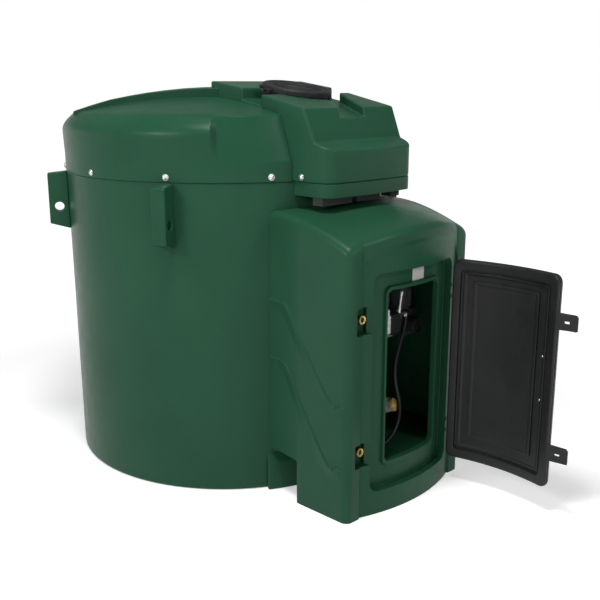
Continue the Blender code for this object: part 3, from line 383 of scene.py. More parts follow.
def in_order(shape: Shape) -> None:
    """Put a shape's corners, edges and faces in the order of their places.

    Blender lists them in an order that can differ between runs, and what comes after follows that order.

    Args:
        shape: The shape.
    """
    def middle(item: bmesh.types.BMEdge | bmesh.types.BMFace) -> tuple[float, ...]:
        """Return the middle of an edge's or a face's corners."""
        return tuple(sum((vertex.co for vertex in item.verts), Vector()) / len(item.verts))

    for items, place in ((shape.verts, lambda vertex: tuple(vertex.co)), (shape.edges, middle),
                         (shape.faces, middle)):
        rank = {item: float(index) for index, item in enumerate(sorted(items, key=place))}
        items.sort(key=rank.get)
        items.index_update()


def merge_near(shape: Shape, gap: float) -> None:
    """Join corners that lie close together, with the same result each run.

    Args:
        shape: The shape.
        gap: Corners closer than this are joined.
    """
    in_order(shape)
    bmesh.ops.remove_doubles(shape, verts=shape.verts, dist=gap)
    in_order(shape)


def mirrored(shape: Shape) -> Shape:
    """Copy a shape to the other side of the middle plane.

    Args:
        shape: The shape, which stays as it is.

    Returns:
        The mirror image, with its faces outwards.
    """
    other = shape.copy()
    bmesh.ops.transform(other, matrix=MIRRORED, verts=other.verts)
    bmesh.ops.reverse_faces(other, faces=other.faces)
    return other


def stamp(target: Shape, pattern: Shape, place: Matrix) -> None:
    """Add a copy of a pattern to a shape.

    Args:
        target: The shape that is added to.
        pattern: What is added, left as it is.
        place: Where the copy goes.
    """
    scrap = bpy.data.meshes.new("scrap")
    pattern.to_mesh(scrap)
    scrap.transform(place)
    target.from_mesh(scrap)
    bpy.data.meshes.remove(scrap)


def facing(point: Sequence[float], outward: Sequence[float], turn: float = 0.0) -> Matrix:
    """Return the place of a part whose own +Z looks outwards from a point.

    Args:
        point: Where the part's origin goes.
        outward: The direction of its +Z.
        turn: Turn about that direction, in degrees.

    Returns:
        The place as a matrix.
    """
    aim = Vector(outward).to_track_quat("Z", "Y").to_matrix().to_4x4()
    return Matrix.Translation(Vector(point)) @ aim @ Matrix.Rotation(radians(turn), 4, "Z")


def soften(shape: Shape, width: float, segments: int = 3, angle: float = 30.0,
           weld: float = 0.0, clamp: bool = True) -> Shape:
    """Round the sharp edges of a shape.

    Args:
        shape: The shape.
        width: How far the rounding reaches from each edge.
        segments: Number of facets of the rounding.
        angle: Only edges sharper than this many degrees are rounded.
        weld: Corners closer than this are joined first, and the flat faces merged.
        clamp: Whether the rounding stops where two of them would meet.

    Returns:
        The same shape.
    """
    if weld:
        bmesh.ops.remove_doubles(shape, verts=shape.verts, dist=weld)
        bmesh.ops.dissolve_limit(shape, angle_limit=radians(FLAT_ANGLE), verts=shape.verts,
                                 edges=shape.edges)
    edges = [edge for edge in shape.edges
             if len(edge.link_faces) == 2 and edge.calc_face_angle(0.0) > radians(angle)]
    bmesh.ops.bevel(shape, geom=edges, offset=width, offset_type="OFFSET", segments=segments,
                    profile=0.5, affect="EDGES", material=-1, clamp_overlap=clamp)
    return shape


def turned(profile: Sequence[Pair], steps: int = 32) -> Shape:
    """Turn a profile of (radius, height) points about +Z.

    Args:
        profile: The profile's points.
        steps: Facets round the turn.

    Returns:
        The turned shape.
    """
    shape = bmesh.new()
    corners = [shape.verts.new((radius, 0.0, height)) for radius, height in profile]
    lines = [shape.edges.new(pair) for pair in zip(corners, corners[1:])]
    bmesh.ops.spin(shape, geom=corners + lines, cent=(0, 0, 0), axis=UP, angle=radians(FULL_TURN),
                   steps=steps, use_merge=True, use_duplicate=False)
    bmesh.ops.remove_doubles(shape, verts=shape.verts, dist=WELD)
    bmesh.ops.recalc_face_normals(shape, faces=shape.faces)
    return shape


def block(low: Sequence[float], high: Sequence[float], round_by: float = 0.0, segments: int = 3) -> Shape:
    """Make a block between two corners, with its edges rounded.

    Args:
        low: Its lowest corner.
        high: Its highest corner.
        round_by: How far the rounding reaches from each edge.
        segments: Number of facets of the rounding.

    Returns:
        The block.
    """
    shape = bmesh.new()
    bmesh.ops.create_cube(shape, size=1.0)
    low, high = Vector(low), Vector(high)
    bmesh.ops.scale(shape, vec=high - low, verts=shape.verts)
    bmesh.ops.translate(shape, vec=(high + low) / 2, verts=shape.verts)
    if round_by:
        soften(shape, round_by, segments)
    return shape


def node_shape(node: str) -> Shape:
    """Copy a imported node's mesh, merged, with each flat face in one piece.

    Args:
        node: The node's name.

    Returns:
        The copy's shape.
    """
    shape = bmesh.new()
    shape.from_mesh(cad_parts[node].data)
    bmesh.ops.remove_doubles(shape, verts=shape.verts, dist=WELD)
    bmesh.ops.dissolve_limit(shape, angle_limit=radians(FLAT_ANGLE), verts=shape.verts, edges=shape.edges)
    return shape


def cut_away(shape: Shape, *cutters: Shape, folded: bool = False) -> Shape:
    """Cut shapes out of a shape.

    Args:
        shape: The shape to cut.
        cutters: What is cut out of it.
        folded: Whether the shape crosses itself in its tight bends.

    Returns:
        What is left of the shape.
    """
    piece = to_piece("workpiece", shape)
    tools = [to_piece("cutter", outward(cutter)) for cutter in cutters]
    for tool in tools:
        modifier = piece.modifiers.new("cut", "BOOLEAN")
        modifier.operation = "DIFFERENCE"
        modifier.solver = "EXACT"
        modifier.use_self = folded
        modifier.object = tool
    bpy.context.view_layer.update()
    result = to_shape(piece)
    for tool in tools:
        bpy.data.objects.remove(tool)
    return result


def round_path(points: Sequence[Pair], radius: float, steps: int = 4) -> list[Pair]:
    """Replace each inner corner of a path by a curve.

    Args:
        points: The path's points.
        radius: How far from the corner the curve starts, at most.
        steps: Facets of each curve.

    Returns:
        The rounded path's points.
    """
    result = [tuple(points[0])]
    for before, corner, after in zip(points, points[1:], points[2:]):
        start, middle, end = Vector(before), Vector(corner), Vector(after)
        reach = min(radius, (start - middle).length / CORNER_SHARE, (end - middle).length / CORNER_SHARE)
        enter = middle + (start - middle).normalized() * reach
        leave = middle + (end - middle).normalized() * reach
        for index in range(steps + 1):
            share = index / steps
            spot = enter * (1 - share) ** 2 + middle * 2 * share * (1 - share) + leave * share ** 2
            result.append((spot.x, spot.y))
    result.append(tuple(points[-1]))
    return result


def smooth_points(points: Sequence[Sequence[float]], fine: int) -> list[Vector]:
    """Run a smooth curve through points.

    Args:
        points: The points that it passes through.
        fine: Steps in each stretch between two of them.

    Returns:
        Points along the curve.
    """
    vectors = [Vector(point) for point in points]
    padded = [2 * vectors[0] - vectors[1], *vectors, 2 * vectors[-1] - vectors[-2]]
    dense = []
    for before, start, end, after in zip(padded, padded[1:], padded[2:], padded[3:]):
        for index in range(fine):
            share = index / fine
            dense.append(0.5 * (2 * start + (end - before) * share
                                + (2 * before - 5 * start + 4 * end - after) * share ** 2
                                + (3 * start - before - 3 * end + after) * share ** 3))
    dense.append(vectors[-1])
    return dense


class Skin:
    """A skin pulled through one ring of points after another.

    Args:
        first: The first ring, whose last point joins its first.
    """

    def __init__(self, first: Sequence[Sequence[float]]) -> None:
        """Start the skin.

        Args:
            first: The first ring, whose last point joins its first.
        """
        self.shape = bmesh.new()
        self.station = self.shape.verts.layers.int.new("station")
        corners = [self.shape.verts.new(point) for point in first]
        for index, corner in enumerate(corners):
            corner[self.station] = index
        self.edges = [self.shape.edges.new(pair) for pair in zip(corners, corners[1:] + corners[:1])]

    def pull(self, *rings: Sequence[Sequence[float]]) -> "Skin":
        """Pull the skin to each further ring in turn.

        Args:
            rings: Rings with as many points as the first one.

        Returns:
            The same skin.
        """
        for ring in rings:
            made = bmesh.ops.extrude_edge_only(self.shape, edges=self.edges)["geom"]
            self.edges = [item for item in made if isinstance(item, bmesh.types.BMEdge)]
            for item in made:
                if isinstance(item, bmesh.types.BMVert):
                    item.co = ring[item[self.station]]
        return self

    def close(self) -> "Skin":
        """Fill the ring that the skin has reached."""
        bmesh.ops.holes_fill(self.shape, edges=self.edges, sides=0)
        return self

    def close_arch(self) -> "Skin":
        """Fill the ring of a panel with upright strips, each as flat as the arc allows.

        Returns:
            The same skin.
        """
        corners = {vertex[self.station]: vertex for edge in self.edges for vertex in edge.verts}
        first = Panel.CORNER_STEPS + 1
        for index in range(first, first + Panel.ACROSS + 2 * Panel.CORNER_STEPS):
            opposite = 2 * first - 1 - index
            strip = [corners[index], corners[index + 1],
                     corners[(opposite - 1) % len(corners)], corners[opposite % len(corners)]]
            bmesh.ops.contextual_create(self.shape, geom=strip)
        return self

    def done(self) -> Shape:
        """Return the shape with its faces turned outwards."""
        bmesh.ops.recalc_face_normals(self.shape, faces=self.shape.faces)
        return self.shape


@dataclass(frozen=True)
class Panel:
    """A rounded rectangle seen from the front, on an upright arc about the front's centre line.

    Attributes:
        left: Lowest x.
        right: Highest x.
        foot: Lowest height.
        top: Highest height.
        corner: Radius of its corners.
        level: Radius of the arc that it lies on.
    """

    left: float
    right: float
    foot: float
    top: float
    corner: float
    level: float

    CENTRE_Y = -0.435
    ACROSS = 12
    CORNER_STEPS = 6
    LEAST_CORNER = 0.002

    @classmethod
    def depth(cls, level: float, x: float) -> float:
        """Return y on an arc at x."""
        return cls.CENTRE_Y - sqrt(level ** 2 - x ** 2)

    def inset(self, margin: float, level: float | None = None) -> "Panel":
        """Return the panel with its outline moved in by a margin, and to another level."""
        return Panel(self.left + margin, self.right - margin, self.foot + margin, self.top - margin,
                     max(self.corner - margin, self.LEAST_CORNER), self.level if level is None else level)

    def ring(self, flat_y: float | None = None) -> list[Vector]:
        """Walk round the outline from its lower right corner.

        Args:
            flat_y: The depth of a flat outline, or None for one bent to the panel's level.

        Returns:
            The outline's points.
        """
        points = []
        corners = ((self.right, self.foot, -QUARTER_TURN), (self.right, self.top, 0.0),
                   (self.left, self.top, QUARTER_TURN), (self.left, self.foot, HALF_TURN))
        for x, z, start in corners:
            inward_x = -1 if x == self.right else 1
            inward_z = -1 if z == self.top else 1
            centre = (x + inward_x * self.corner, z + inward_z * self.corner)
            for index in range(self.CORNER_STEPS + 1):
                turn = radians(start + QUARTER_TURN * index / self.CORNER_STEPS)
                points.append((centre[0] + self.corner * cos(turn), centre[1] + self.corner * sin(turn)))
            if x == self.right and z == self.top or x == self.left and z == self.foot:
                begin, reach = points[-1], self.right - self.left - 2 * self.corner
                for index in range(1, self.ACROSS):
                    points.append((begin[0] + inward_x * reach * index / self.ACROSS, begin[1]))
        return [Vector((x, self.depth(self.level, x) if flat_y is None else flat_y, z)) for x, z in points]


def rolled(panel: Panel, radius: float, outward: bool, steps: int = 4) -> list[Panel]:
    """Return the panels of a quarter round between a panel's wall and its face.

    Args:
        panel: The panel where the wall ends, at the level of the face.
        radius: Radius of the quarter round.
        outward: Whether the face is further out than the wall.
        steps: Facets of the quarter round.

    Returns:
        Panels from the wall's end to the start of the face.
    """
    sign = 1 if outward else -1
    result = []
    for index in range(steps + 1):
        turn = pi / 2 * index / steps
        result.append(panel.inset(radius * (1 - cos(turn)), panel.level - sign * radius * (1 - sin(turn))))
    return result


@dataclass
class Studio:
    """The floor, the soft light and the camera at the photograph's angle."""

    camera_place: Triple = (-3.5634, -4.2007, 2.2462)
    heading: float = 44.9047
    pitch: float = 14.0557
    lens: float = 51.675
    sensor: float = 36.0
    sight: float = 200.0
    floor_size: float = 60.0
    floor_colour: Triple = (0.86, 0.86, 0.86)
    floor_roughness: float = 0.9
    lamps: tuple[tuple[Triple, float, float], ...] = (
        ((-5.2, -0.6, 3.8), 1.4, 118.0),
        ((0.8, -6.2, 4.8), 1.2, 85.0),
        ((-1.6, -1.6, 6.2), 1.4, 225.0),
    )
    aim: Triple = (0.0, -0.4, 1.1)
    wall_top: float = 0.10
    ceiling_from: float = 0.24
    ceiling_light: float = 0.26
    floor_glow: Pair = (0.36, 0.80)
    glow_reach: Pair = (2.4, 4.5)

    def build(self) -> None:
        """Set up everything round the tank."""
        self.set_camera()
        self.lay_floor()
        self.set_surroundings()
        self.set_lamps()

    def set_camera(self) -> None:
        """Place the camera."""
        data = bpy.data.cameras.new("camera")
        data.lens = self.lens
        data.sensor_width = self.sensor
        data.clip_end = self.sight
        camera = bpy.data.objects.new("camera", data)
        camera.location = self.camera_place
        camera.rotation_euler = (radians(QUARTER_TURN - self.pitch), 0.0, -radians(self.heading))
        bpy.context.scene.collection.objects.link(camera)
        bpy.context.scene.camera = camera

    def lay_floor(self) -> None:
        """Make the pale floor, which glows more with the distance."""
        shape = bmesh.new()
        bmesh.ops.create_grid(shape, x_segments=2, y_segments=2, size=self.floor_size)
        floor = to_piece("floor", shape)
        paint = bpy.data.materials.new("floor")
        paint.use_nodes = True
        shader = paint.node_tree.nodes["Principled BSDF"]
        shader.inputs["Base Color"].default_value = (*self.floor_colour, 1.0)
        shader.inputs["Roughness"].default_value = self.floor_roughness
        shader.inputs["Emission Color"].default_value = WHITE
        tree = paint.node_tree
        where = tree.nodes.new("ShaderNodeTexCoord")
        reach = tree.nodes.new("ShaderNodeVectorMath")
        reach.operation = "LENGTH"
        tree.links.new(where.outputs["Object"], reach.inputs[0])
        glow = ranged(tree, reach.outputs["Value"], self.glow_reach, self.floor_glow)
        tree.links.new(glow.outputs["Result"], shader.inputs["Emission Strength"])
        floor.data.materials.append(paint)
        floor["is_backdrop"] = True

    def set_surroundings(self) -> None:
        """Make the surroundings: white low down, and dimmer towards the ceiling."""
        world = bpy.data.worlds.new("studio")
        world.use_nodes = True
        tree = world.node_tree
        way = tree.nodes.new("ShaderNodeTexCoord")
        parts = tree.nodes.new("ShaderNodeSeparateXYZ")
        fall = ranged(tree, parts.outputs["Z"], (self.wall_top, self.ceiling_from),
                      (1.0, self.ceiling_light))
        fall.interpolation_type = "SMOOTHSTEP"
        tree.links.new(way.outputs["Generated"], parts.inputs["Vector"])
        tree.links.new(fall.outputs["Result"], tree.nodes["Background"].inputs["Strength"])
        tree.nodes["Background"].inputs["Color"].default_value = WHITE
        bpy.context.scene.world = world
        bpy.context.scene.view_settings.view_transform = "Standard"

    def set_lamps(self) -> None:
        """Hang the soft lamps, each turned to the tank."""
        for index, (place, size, power) in enumerate(self.lamps):
            data = bpy.data.lights.new(f"lamp_{index}", "AREA")
            data.shape = "DISK"
            data.size = size
            data.energy = power
            lamp = bpy.data.objects.new(f"lamp_{index}", data)
            lamp.location = place
            lamp.rotation_euler = (Vector(self.aim) - Vector(place)).to_track_quat("-Z", "Y").to_euler()
            bpy.context.scene.collection.objects.link(lamp)


@dataclass
class OuterTank:
    """The round outer tank with the band at its foot and its lifting lugs."""

    foot_radius: float = 0.989
    seam_radius: float = 1.000
    seam_height: float = 1.7465
    foot_round: float = 0.020
    rim_round: float = 0.006
    steps: int = 160
    walls: tuple[str, ...] = tuple(f"bund_wall_{index}" for index in range(1, 7))
    lugs: tuple[str, ...] = ("lug_front_left", "lug_front_right", "lug_rear_left", "lug_rear_right")
    lug_round: float = 0.007
    lug_segments: int = 4
    lug_weld: float = 0.0025
    foot_segments: int = 5
    band_round: float = 0.010

    def build(self) -> None:
        """Make the wall, the band and the lugs."""
        outside = round_path([(0.0, 0.0), (self.foot_radius, 0.0), (self.seam_radius, self.seam_height),
                              (self.seam_radius - SHELL, self.seam_height)],
                             self.foot_round, self.foot_segments)
        inner = [(self.seam_radius - SHELL, self.seam_height - self.rim_round),
                 (self.foot_radius - SHELL, self.foot_round + SHELL), (self.foot_radius - 2 * SHELL, SHELL),
                 (0.0, SHELL)]
        deliver("tank_wall", turned([*outside, *inner], self.steps), GREEN,
                replaces=[*self.walls, "bund_floor"])
        deliver("foot_band", soften(node_shape("base_band"), self.band_round), GREEN,
                replaces=["base_band"])
        for lug in self.lugs:
            shape = soften(node_shape(lug), self.lug_round, self.lug_segments, weld=self.lug_weld,
                           clamp=False)
            deliver(f"lifting_{lug}", shape, GREEN, replaces=[lug])


@dataclass
class Roof:
    """The roof with its rounded shoulder, flat-faced panels, step and spine with the nose."""

    skirt: Profile = ((1.0042, 1.7470), (1.0045, 1.8400), (1.0048, 1.8520), (1.0080, 1.9300))
    shoulder: Profile = ((1.0080, 1.9300), (1.0100, 1.9770), (1.0060, 2.0060), (0.9890, 2.0350),
                                  (0.9610, 2.0630), (0.9200, 2.0941), (0.8600, 2.1090))
    crown_radii: tuple[float, ...] = (0.80, 0.70, 0.58, 0.46, 0.34, 0.22, 0.11, 0.0)
    crown_top: float = 2.218
    crown_slope: float = 0.015
    crown_drop: float = 0.13
    columns: int = 144
    panel_azimuths: Pair = (15.0, 44.2)
    return_width: float = 1.9
    panel_foot: Pair = (1.0045, 1.8460)
    panel_top_radii: Pair = (0.914, 0.953)
    panel_top_height: float = 2.086
    shoulder_steps: int = 3
    slot_half: float = 0.3640
    slot_rear: float = -0.2690
    slot_snap: float = 0.0015
    edge_round: float = 0.004
    edge_angle: float = 19.0
    crisp_angle: float = 20.0
    tidy_gap: float = 0.003
    spine_round: float = 0.011
    spine_angle: float = 33.0
    spine_weld: float = 0.004
    tray_round: float = 0.003
    area_rows: int = 8
    area_fall: float = 1.5
    area_sink: float = 0.004
    area_clearance: float = 0.0005
    area_depth: float = 0.07
    area_round: float = 0.006
    area_angle: float = 40.0
    shelf_lead: float = 0.006
    step_rises: tuple[float, ...] = (0.050, 0.046, 0.040, 0.032, 0.010)
    # How far the painted-shade band on the step stands off each side of the step line, and how far it sinks.
    painted_shade_offsets: Pair = (0.0015, 0.004)
    step_foot: tuple[Pair, Pair] = ((-0.345, -0.371), (-0.893, 0.338))
    step_back: tuple[Pair, Pair] = ((-0.12, 0.02), (-0.72, 0.56))

    def crown(self, radius: float) -> float:
        """Return the crown's height at a radius from the tank's axis."""
        return self.crown_top - self.crown_slope * radius - self.crown_drop * radius ** 2

    def build(self) -> None:
        """Make the roof's shell, the raised areas, the spine and the nose's band."""
        self.build_shell()
        self.build_raised_areas()
        spine = soften(node_shape("spine_cover"), self.spine_round, angle=self.spine_angle,
                       weld=self.spine_weld, clamp=False)
        deliver("roof_spine", spine, GREEN, replaces=["spine_cover"])
        tray = soften(node_shape("nose_band"), self.tray_round, 2)
        deliver("nose_tray", tray, GREEN, replaces=["nose_band"])

    def build_shell(self) -> None:
        """Make the shell: turned, then pressed flat at the panels and opened for the spine."""
        curve = smooth_points([(radius, 0.0, height) for radius, height in self.shoulder],
                              self.shoulder_steps)
        main = [*self.skirt[:-1], *((point.x, point.z) for point in curve)]
        crown_start = len(main)
        main += [(radius, self.crown(radius)) for radius in self.crown_radii]

        shape = bmesh.new()
        row = shape.verts.layers.int.new("row")
        corners = [shape.verts.new((0.0, -radius, height)) for radius, height in main]
        for index, corner in enumerate(corners):
            corner[row] = index
        lines = [shape.edges.new(pair) for pair in zip(corners, corners[1:])]
        bmesh.ops.spin(shape, geom=corners + lines, cent=(0, 0, 0), axis=UP, angle=2 * pi,
                       steps=self.columns, use_merge=True, use_duplicate=False)
        low, high = self.panel_azimuths
        for vertex in shape.verts:
            azimuth = degrees(atan2(-vertex.co.x, -vertex.co.y))
            if low < abs(azimuth) < high:
                share = (abs(azimuth) - low) / (high - low)
                radius, height = self.flat_profile(main, crown_start, share)[vertex[row]]
                if abs(azimuth) > high - FULL_TURN / self.columns:
                    azimuth = high if azimuth > 0 else -high
            elif high <= abs(azimuth) < high + FULL_TURN / self.columns:
                azimuth = (high + self.return_width) * (1 if azimuth > 0 else -1)
                radius, height = main[vertex[row]]
            else:
                continue
            turn = radians(azimuth)
            vertex.co = (-radius * sin(turn), -radius * cos(turn), height)
        bmesh.ops.remove_doubles(shape, verts=shape.verts, dist=WELD)
        for place, normal in (((self.slot_half, 0, 0), RIGHT), ((-self.slot_half, 0, 0), RIGHT),
                              ((0, self.slot_rear, 0), FORWARD)):
            bmesh.ops.bisect_plane(shape, geom=[*shape.verts, *shape.edges, *shape.faces],
                                   plane_co=place, plane_no=normal, dist=self.slot_snap)
        under = [face for face in shape.faces
                 if abs(face.calc_center_median().x) < self.slot_half
                 and face.calc_center_median().y < self.slot_rear]
        bmesh.ops.delete(shape, geom=under, context="FACES")
        bmesh.ops.recalc_face_normals(shape, faces=shape.faces)
        piece = to_piece("roof_shell", shape)
        wall = piece.modifiers.new("wall", "SOLIDIFY")
        wall.thickness = SHELL
        wall.offset = -1.0
        bpy.context.view_layer.update()
        shape = to_shape(piece)
        merge_near(shape, self.tidy_gap)
        soften(shape, self.edge_round, angle=self.edge_angle, clamp=False)
        deliver("roof_shell", shape, GREEN,
                replaces=["roof_left", "roof_right", "roof_panel_left", "roof_panel_right"],
                sharp=self.crisp_angle)

    def flat_profile(self, main: Sequence[Pair], crown_start: int, share: float) -> list[Pair]:
        """Return the profile over a flat-faced panel, row by row beside the main one.

        Args:
            main: The roof's own profile.
            crown_start: The row where its crown starts.
            share: How far across the panel it is, from the nose's side.

        Returns:
            The panel's profile there.
        """
        near, far = self.panel_top_radii
        top = (near + (far - near) * share, self.panel_top_height)
        first = next(index for index, (_, height) in enumerate(main) if height > self.panel_foot[1])
        last = max(index for index in range(crown_start) if main[index][0] > top[0])
        result = list(main)
        for index in range(first - 1, last + 1):
            part = (index - first + 1) / (last - first + 1)
            result[index] = (self.panel_foot[0] + (top[0] - self.panel_foot[0]) * part,
                             self.panel_foot[1] + (top[1] - self.panel_foot[1]) * part)
        for index in range(last + 1, crown_start):
            radius = min(main[index][0], top[0] - self.shelf_lead)
            result[index] = (radius, max(self.crown(radius), self.panel_top_height))
        return result

    def build_raised_areas(self) -> None:
        """Make the areas that lie higher behind a straight step on each side of the spine, and the bands of
        painted shade on the steps.
        """
        rises = self.step_rises
        shape = bmesh.new()
        bmesh.ops.create_grid(shape, x_segments=self.area_rows, y_segments=self.area_rows, size=0.5)
        for vertex in shape.verts:
            along, back = vertex.co.x + 0.5, vertex.co.y + 0.5
            rise_at = along * (len(rises) - 1)
            step = min(int(rise_at), len(rises) - 2)
            rise = rises[step] + (rises[step + 1] - rises[step]) * (rise_at - step)
            foot = Vector(self.step_foot[0]).lerp(Vector(self.step_foot[1]), along)
            rear = Vector(self.step_back[0]).lerp(Vector(self.step_back[1]), along)
            spot = foot.lerp(rear, back)
            lift = rise * (1 - back ** self.area_fall) - self.area_sink * back - self.area_clearance
            vertex.co = (spot.x, spot.y, self.crown(spot.length) + lift)
        skirt = bmesh.ops.extrude_face_region(shape, geom=shape.faces[:])["geom"]
        sunk = [item for item in skirt if isinstance(item, bmesh.types.BMVert)]
        bmesh.ops.translate(shape, vec=(0.0, 0.0, -self.area_depth), verts=sunk)
        bmesh.ops.recalc_face_normals(shape, faces=shape.faces)
        soften(shape, self.area_round, angle=self.area_angle)
        deliver("raised_area_left", shape.copy(), GREEN)
        deliver("raised_area_right", mirrored(shape), GREEN)
        shape.free()
        # A thin band in the darker green copy covers each step's wall: painted shade.
        band = self.painted_shade_band()
        deliver("painted_shade_step_left", band.copy(), GREEN_PAINTED_SHADE)
        deliver("painted_shade_step_right", mirrored(band), GREEN_PAINTED_SHADE)
        band.free()

    def painted_shade_band(self) -> Shape:
        """Make the thin dark band of painted shade that covers the straight step's wall.

        Returns:
            The painted-shade band on the left.
        """
        stand_off, trim = self.painted_shade_offsets
        foot, end = Vector(self.step_foot[0]), Vector(self.step_foot[1])
        along = (end - foot).normalized()
        front = Vector((along.y, -along.x))
        if front.dot(foot) < 0:
            front = -front
        rings = []
        for index in range(len(self.step_rises)):
            spot = foot.lerp(end, index / (len(self.step_rises) - 1))
            low = self.crown(spot.length) - trim
            high = self.crown(spot.length) + self.step_rises[index] - trim
            near, far = spot + front * stand_off, spot - front * stand_off
            rings.append([(near.x, near.y, low), (near.x, near.y, high), (far.x, far.y, high),
                          (far.x, far.y, low)])
        return Skin(rings[0]).close().pull(*rings[1:]).close().done()


@dataclass
class Fastening:
    """Round-headed bolts with washers, round the seam and on the nose."""

    head: Profile = ((0.0, 0.0105), (0.0050, 0.0102), (0.0095, 0.0088), (0.0125, 0.0060),
                              (0.0137, 0.0035), (0.0140, 0.0025), (0.0172, 0.0024), (0.0176, 0.0018),
                              (0.0176, -0.0010), (0.0, -0.0010))
    facets: int = 24
    height: float = 1.7745
    skirt_radius: float = 1.0046
    azimuths: tuple[float, ...] = (28.0, 60.0, 90.0, 120.0, 150.0, 180.0)
    nose_x: float = 0.3630
    nose_y: float = -1.0000

    def build(self) -> None:
        """Make all the bolts as one piece."""
        bolt = turned(self.head, self.facets)
        all_bolts = bmesh.new()
        for side in (1, -1):
            for azimuth in self.azimuths:
                if azimuth == HALF_TURN and side < 0:
                    continue
                turn = radians(azimuth)
                outward = Vector((-side * sin(turn), -cos(turn), 0.0))
                stamp(all_bolts, bolt, facing(outward * self.skirt_radius + UP * self.height, outward))
            stamp(all_bolts, bolt, facing((side * self.nose_x, self.nose_y, self.height),
                                          (side, 0.0, 0.0)))
        deliver("seam_bolts", all_bolts, ZINC)
        bolt.free()


@dataclass
class Manhole:
    """The ring on the spine and the ribbed black cover clamped on it."""

    place: Triple = (0.0, -0.604, 2.238)
    slope: float = 0.186
    dish: Profile = ((0.0, -0.0050), (0.030, -0.0050), (0.034, -0.0030), (0.052, -0.0030),
                              (0.056, -0.0055), (0.150, -0.0055), (0.154, -0.0030), (0.160, -0.0022),
                              (0.164, -0.0060), (0.170, -0.0060), (0.174, -0.0010), (0.184, 0.0),
                              (0.194, -0.0020), (0.199, -0.0070), (0.200, -0.0130), (0.200, -0.0300),
                              (0.197, -0.0330), (0.193, -0.0340), (0.193, -0.0600), (0.190, -0.0650),
                              (0.150, -0.0655), (0.0, -0.0655))
    facets: int = 96
    collar_round: float = 0.003
    spokes: int = 32
    spoke: Box = ((0.066, -0.0035, -0.0080), (0.142, 0.0035, -0.0036))
    spoke_round: float = 0.0012
    grips: int = 18
    grip: Box = ((0.186, -0.0200, -0.0640), (0.1995, 0.0200, -0.0260))
    grip_round: float = 0.0030
    clamp_turn: float = 176.0
    lever: Box = ((0.186, -0.024, -0.046), (0.226, 0.024, -0.016))
    lever_tail: Box = ((0.214, -0.012, -0.050), (0.258, 0.012, -0.036))
    lever_round: float = 0.004
    knob: Profile = ((0.0, 0.012), (0.008, 0.011), (0.0115, 0.006), (0.012, -0.006), (0.0, -0.006))
    knob_facets: int = 20
    knob_place: Triple = (0.250, 0.0, -0.030)

    def build(self) -> None:
        """Make the ring, the cover and its clamp lever."""
        tilt = Matrix.Translation(self.place) @ Matrix.Rotation(atan(self.slope), 4, "X")
        ring = soften(node_shape("manhole_ring"), self.collar_round, 2)
        deliver("manhole_collar", ring, GREEN, replaces=["manhole_ring"])

        cover = turned(self.dish, self.facets)
        spoke = block(*self.spoke, self.spoke_round, 2)
        grip = block(*self.grip, self.grip_round, 2)
        for count, pattern in ((self.spokes, spoke), (self.grips, grip)):
            for index in range(count):
                stamp(cover, pattern, Matrix.Rotation(2 * pi * index / count, 4, "Z"))
            pattern.free()
        self.add_clamps(cover)
        bmesh.ops.transform(cover, matrix=tilt, verts=cover.verts)
        deliver("manhole_lid", cover, BLACK, replaces=["manhole_cover"])

    def add_clamps(self, cover: Shape) -> None:
        """Add the clamp lever with its knob.

        Args:
            cover: The cover's shape, lying flat at the origin.
        """
        lever = block(*self.lever, self.lever_round)
        stamp(lever, block(*self.lever_tail, self.lever_round), AS_IT_IS)
        knob = turned(self.knob, self.knob_facets)
        stamp(lever, knob, Matrix.Translation(self.knob_place))
        knob.free()
        stamp(cover, lever, Matrix.Rotation(radians(self.clamp_turn), 4, "Z"))
        lever.free()


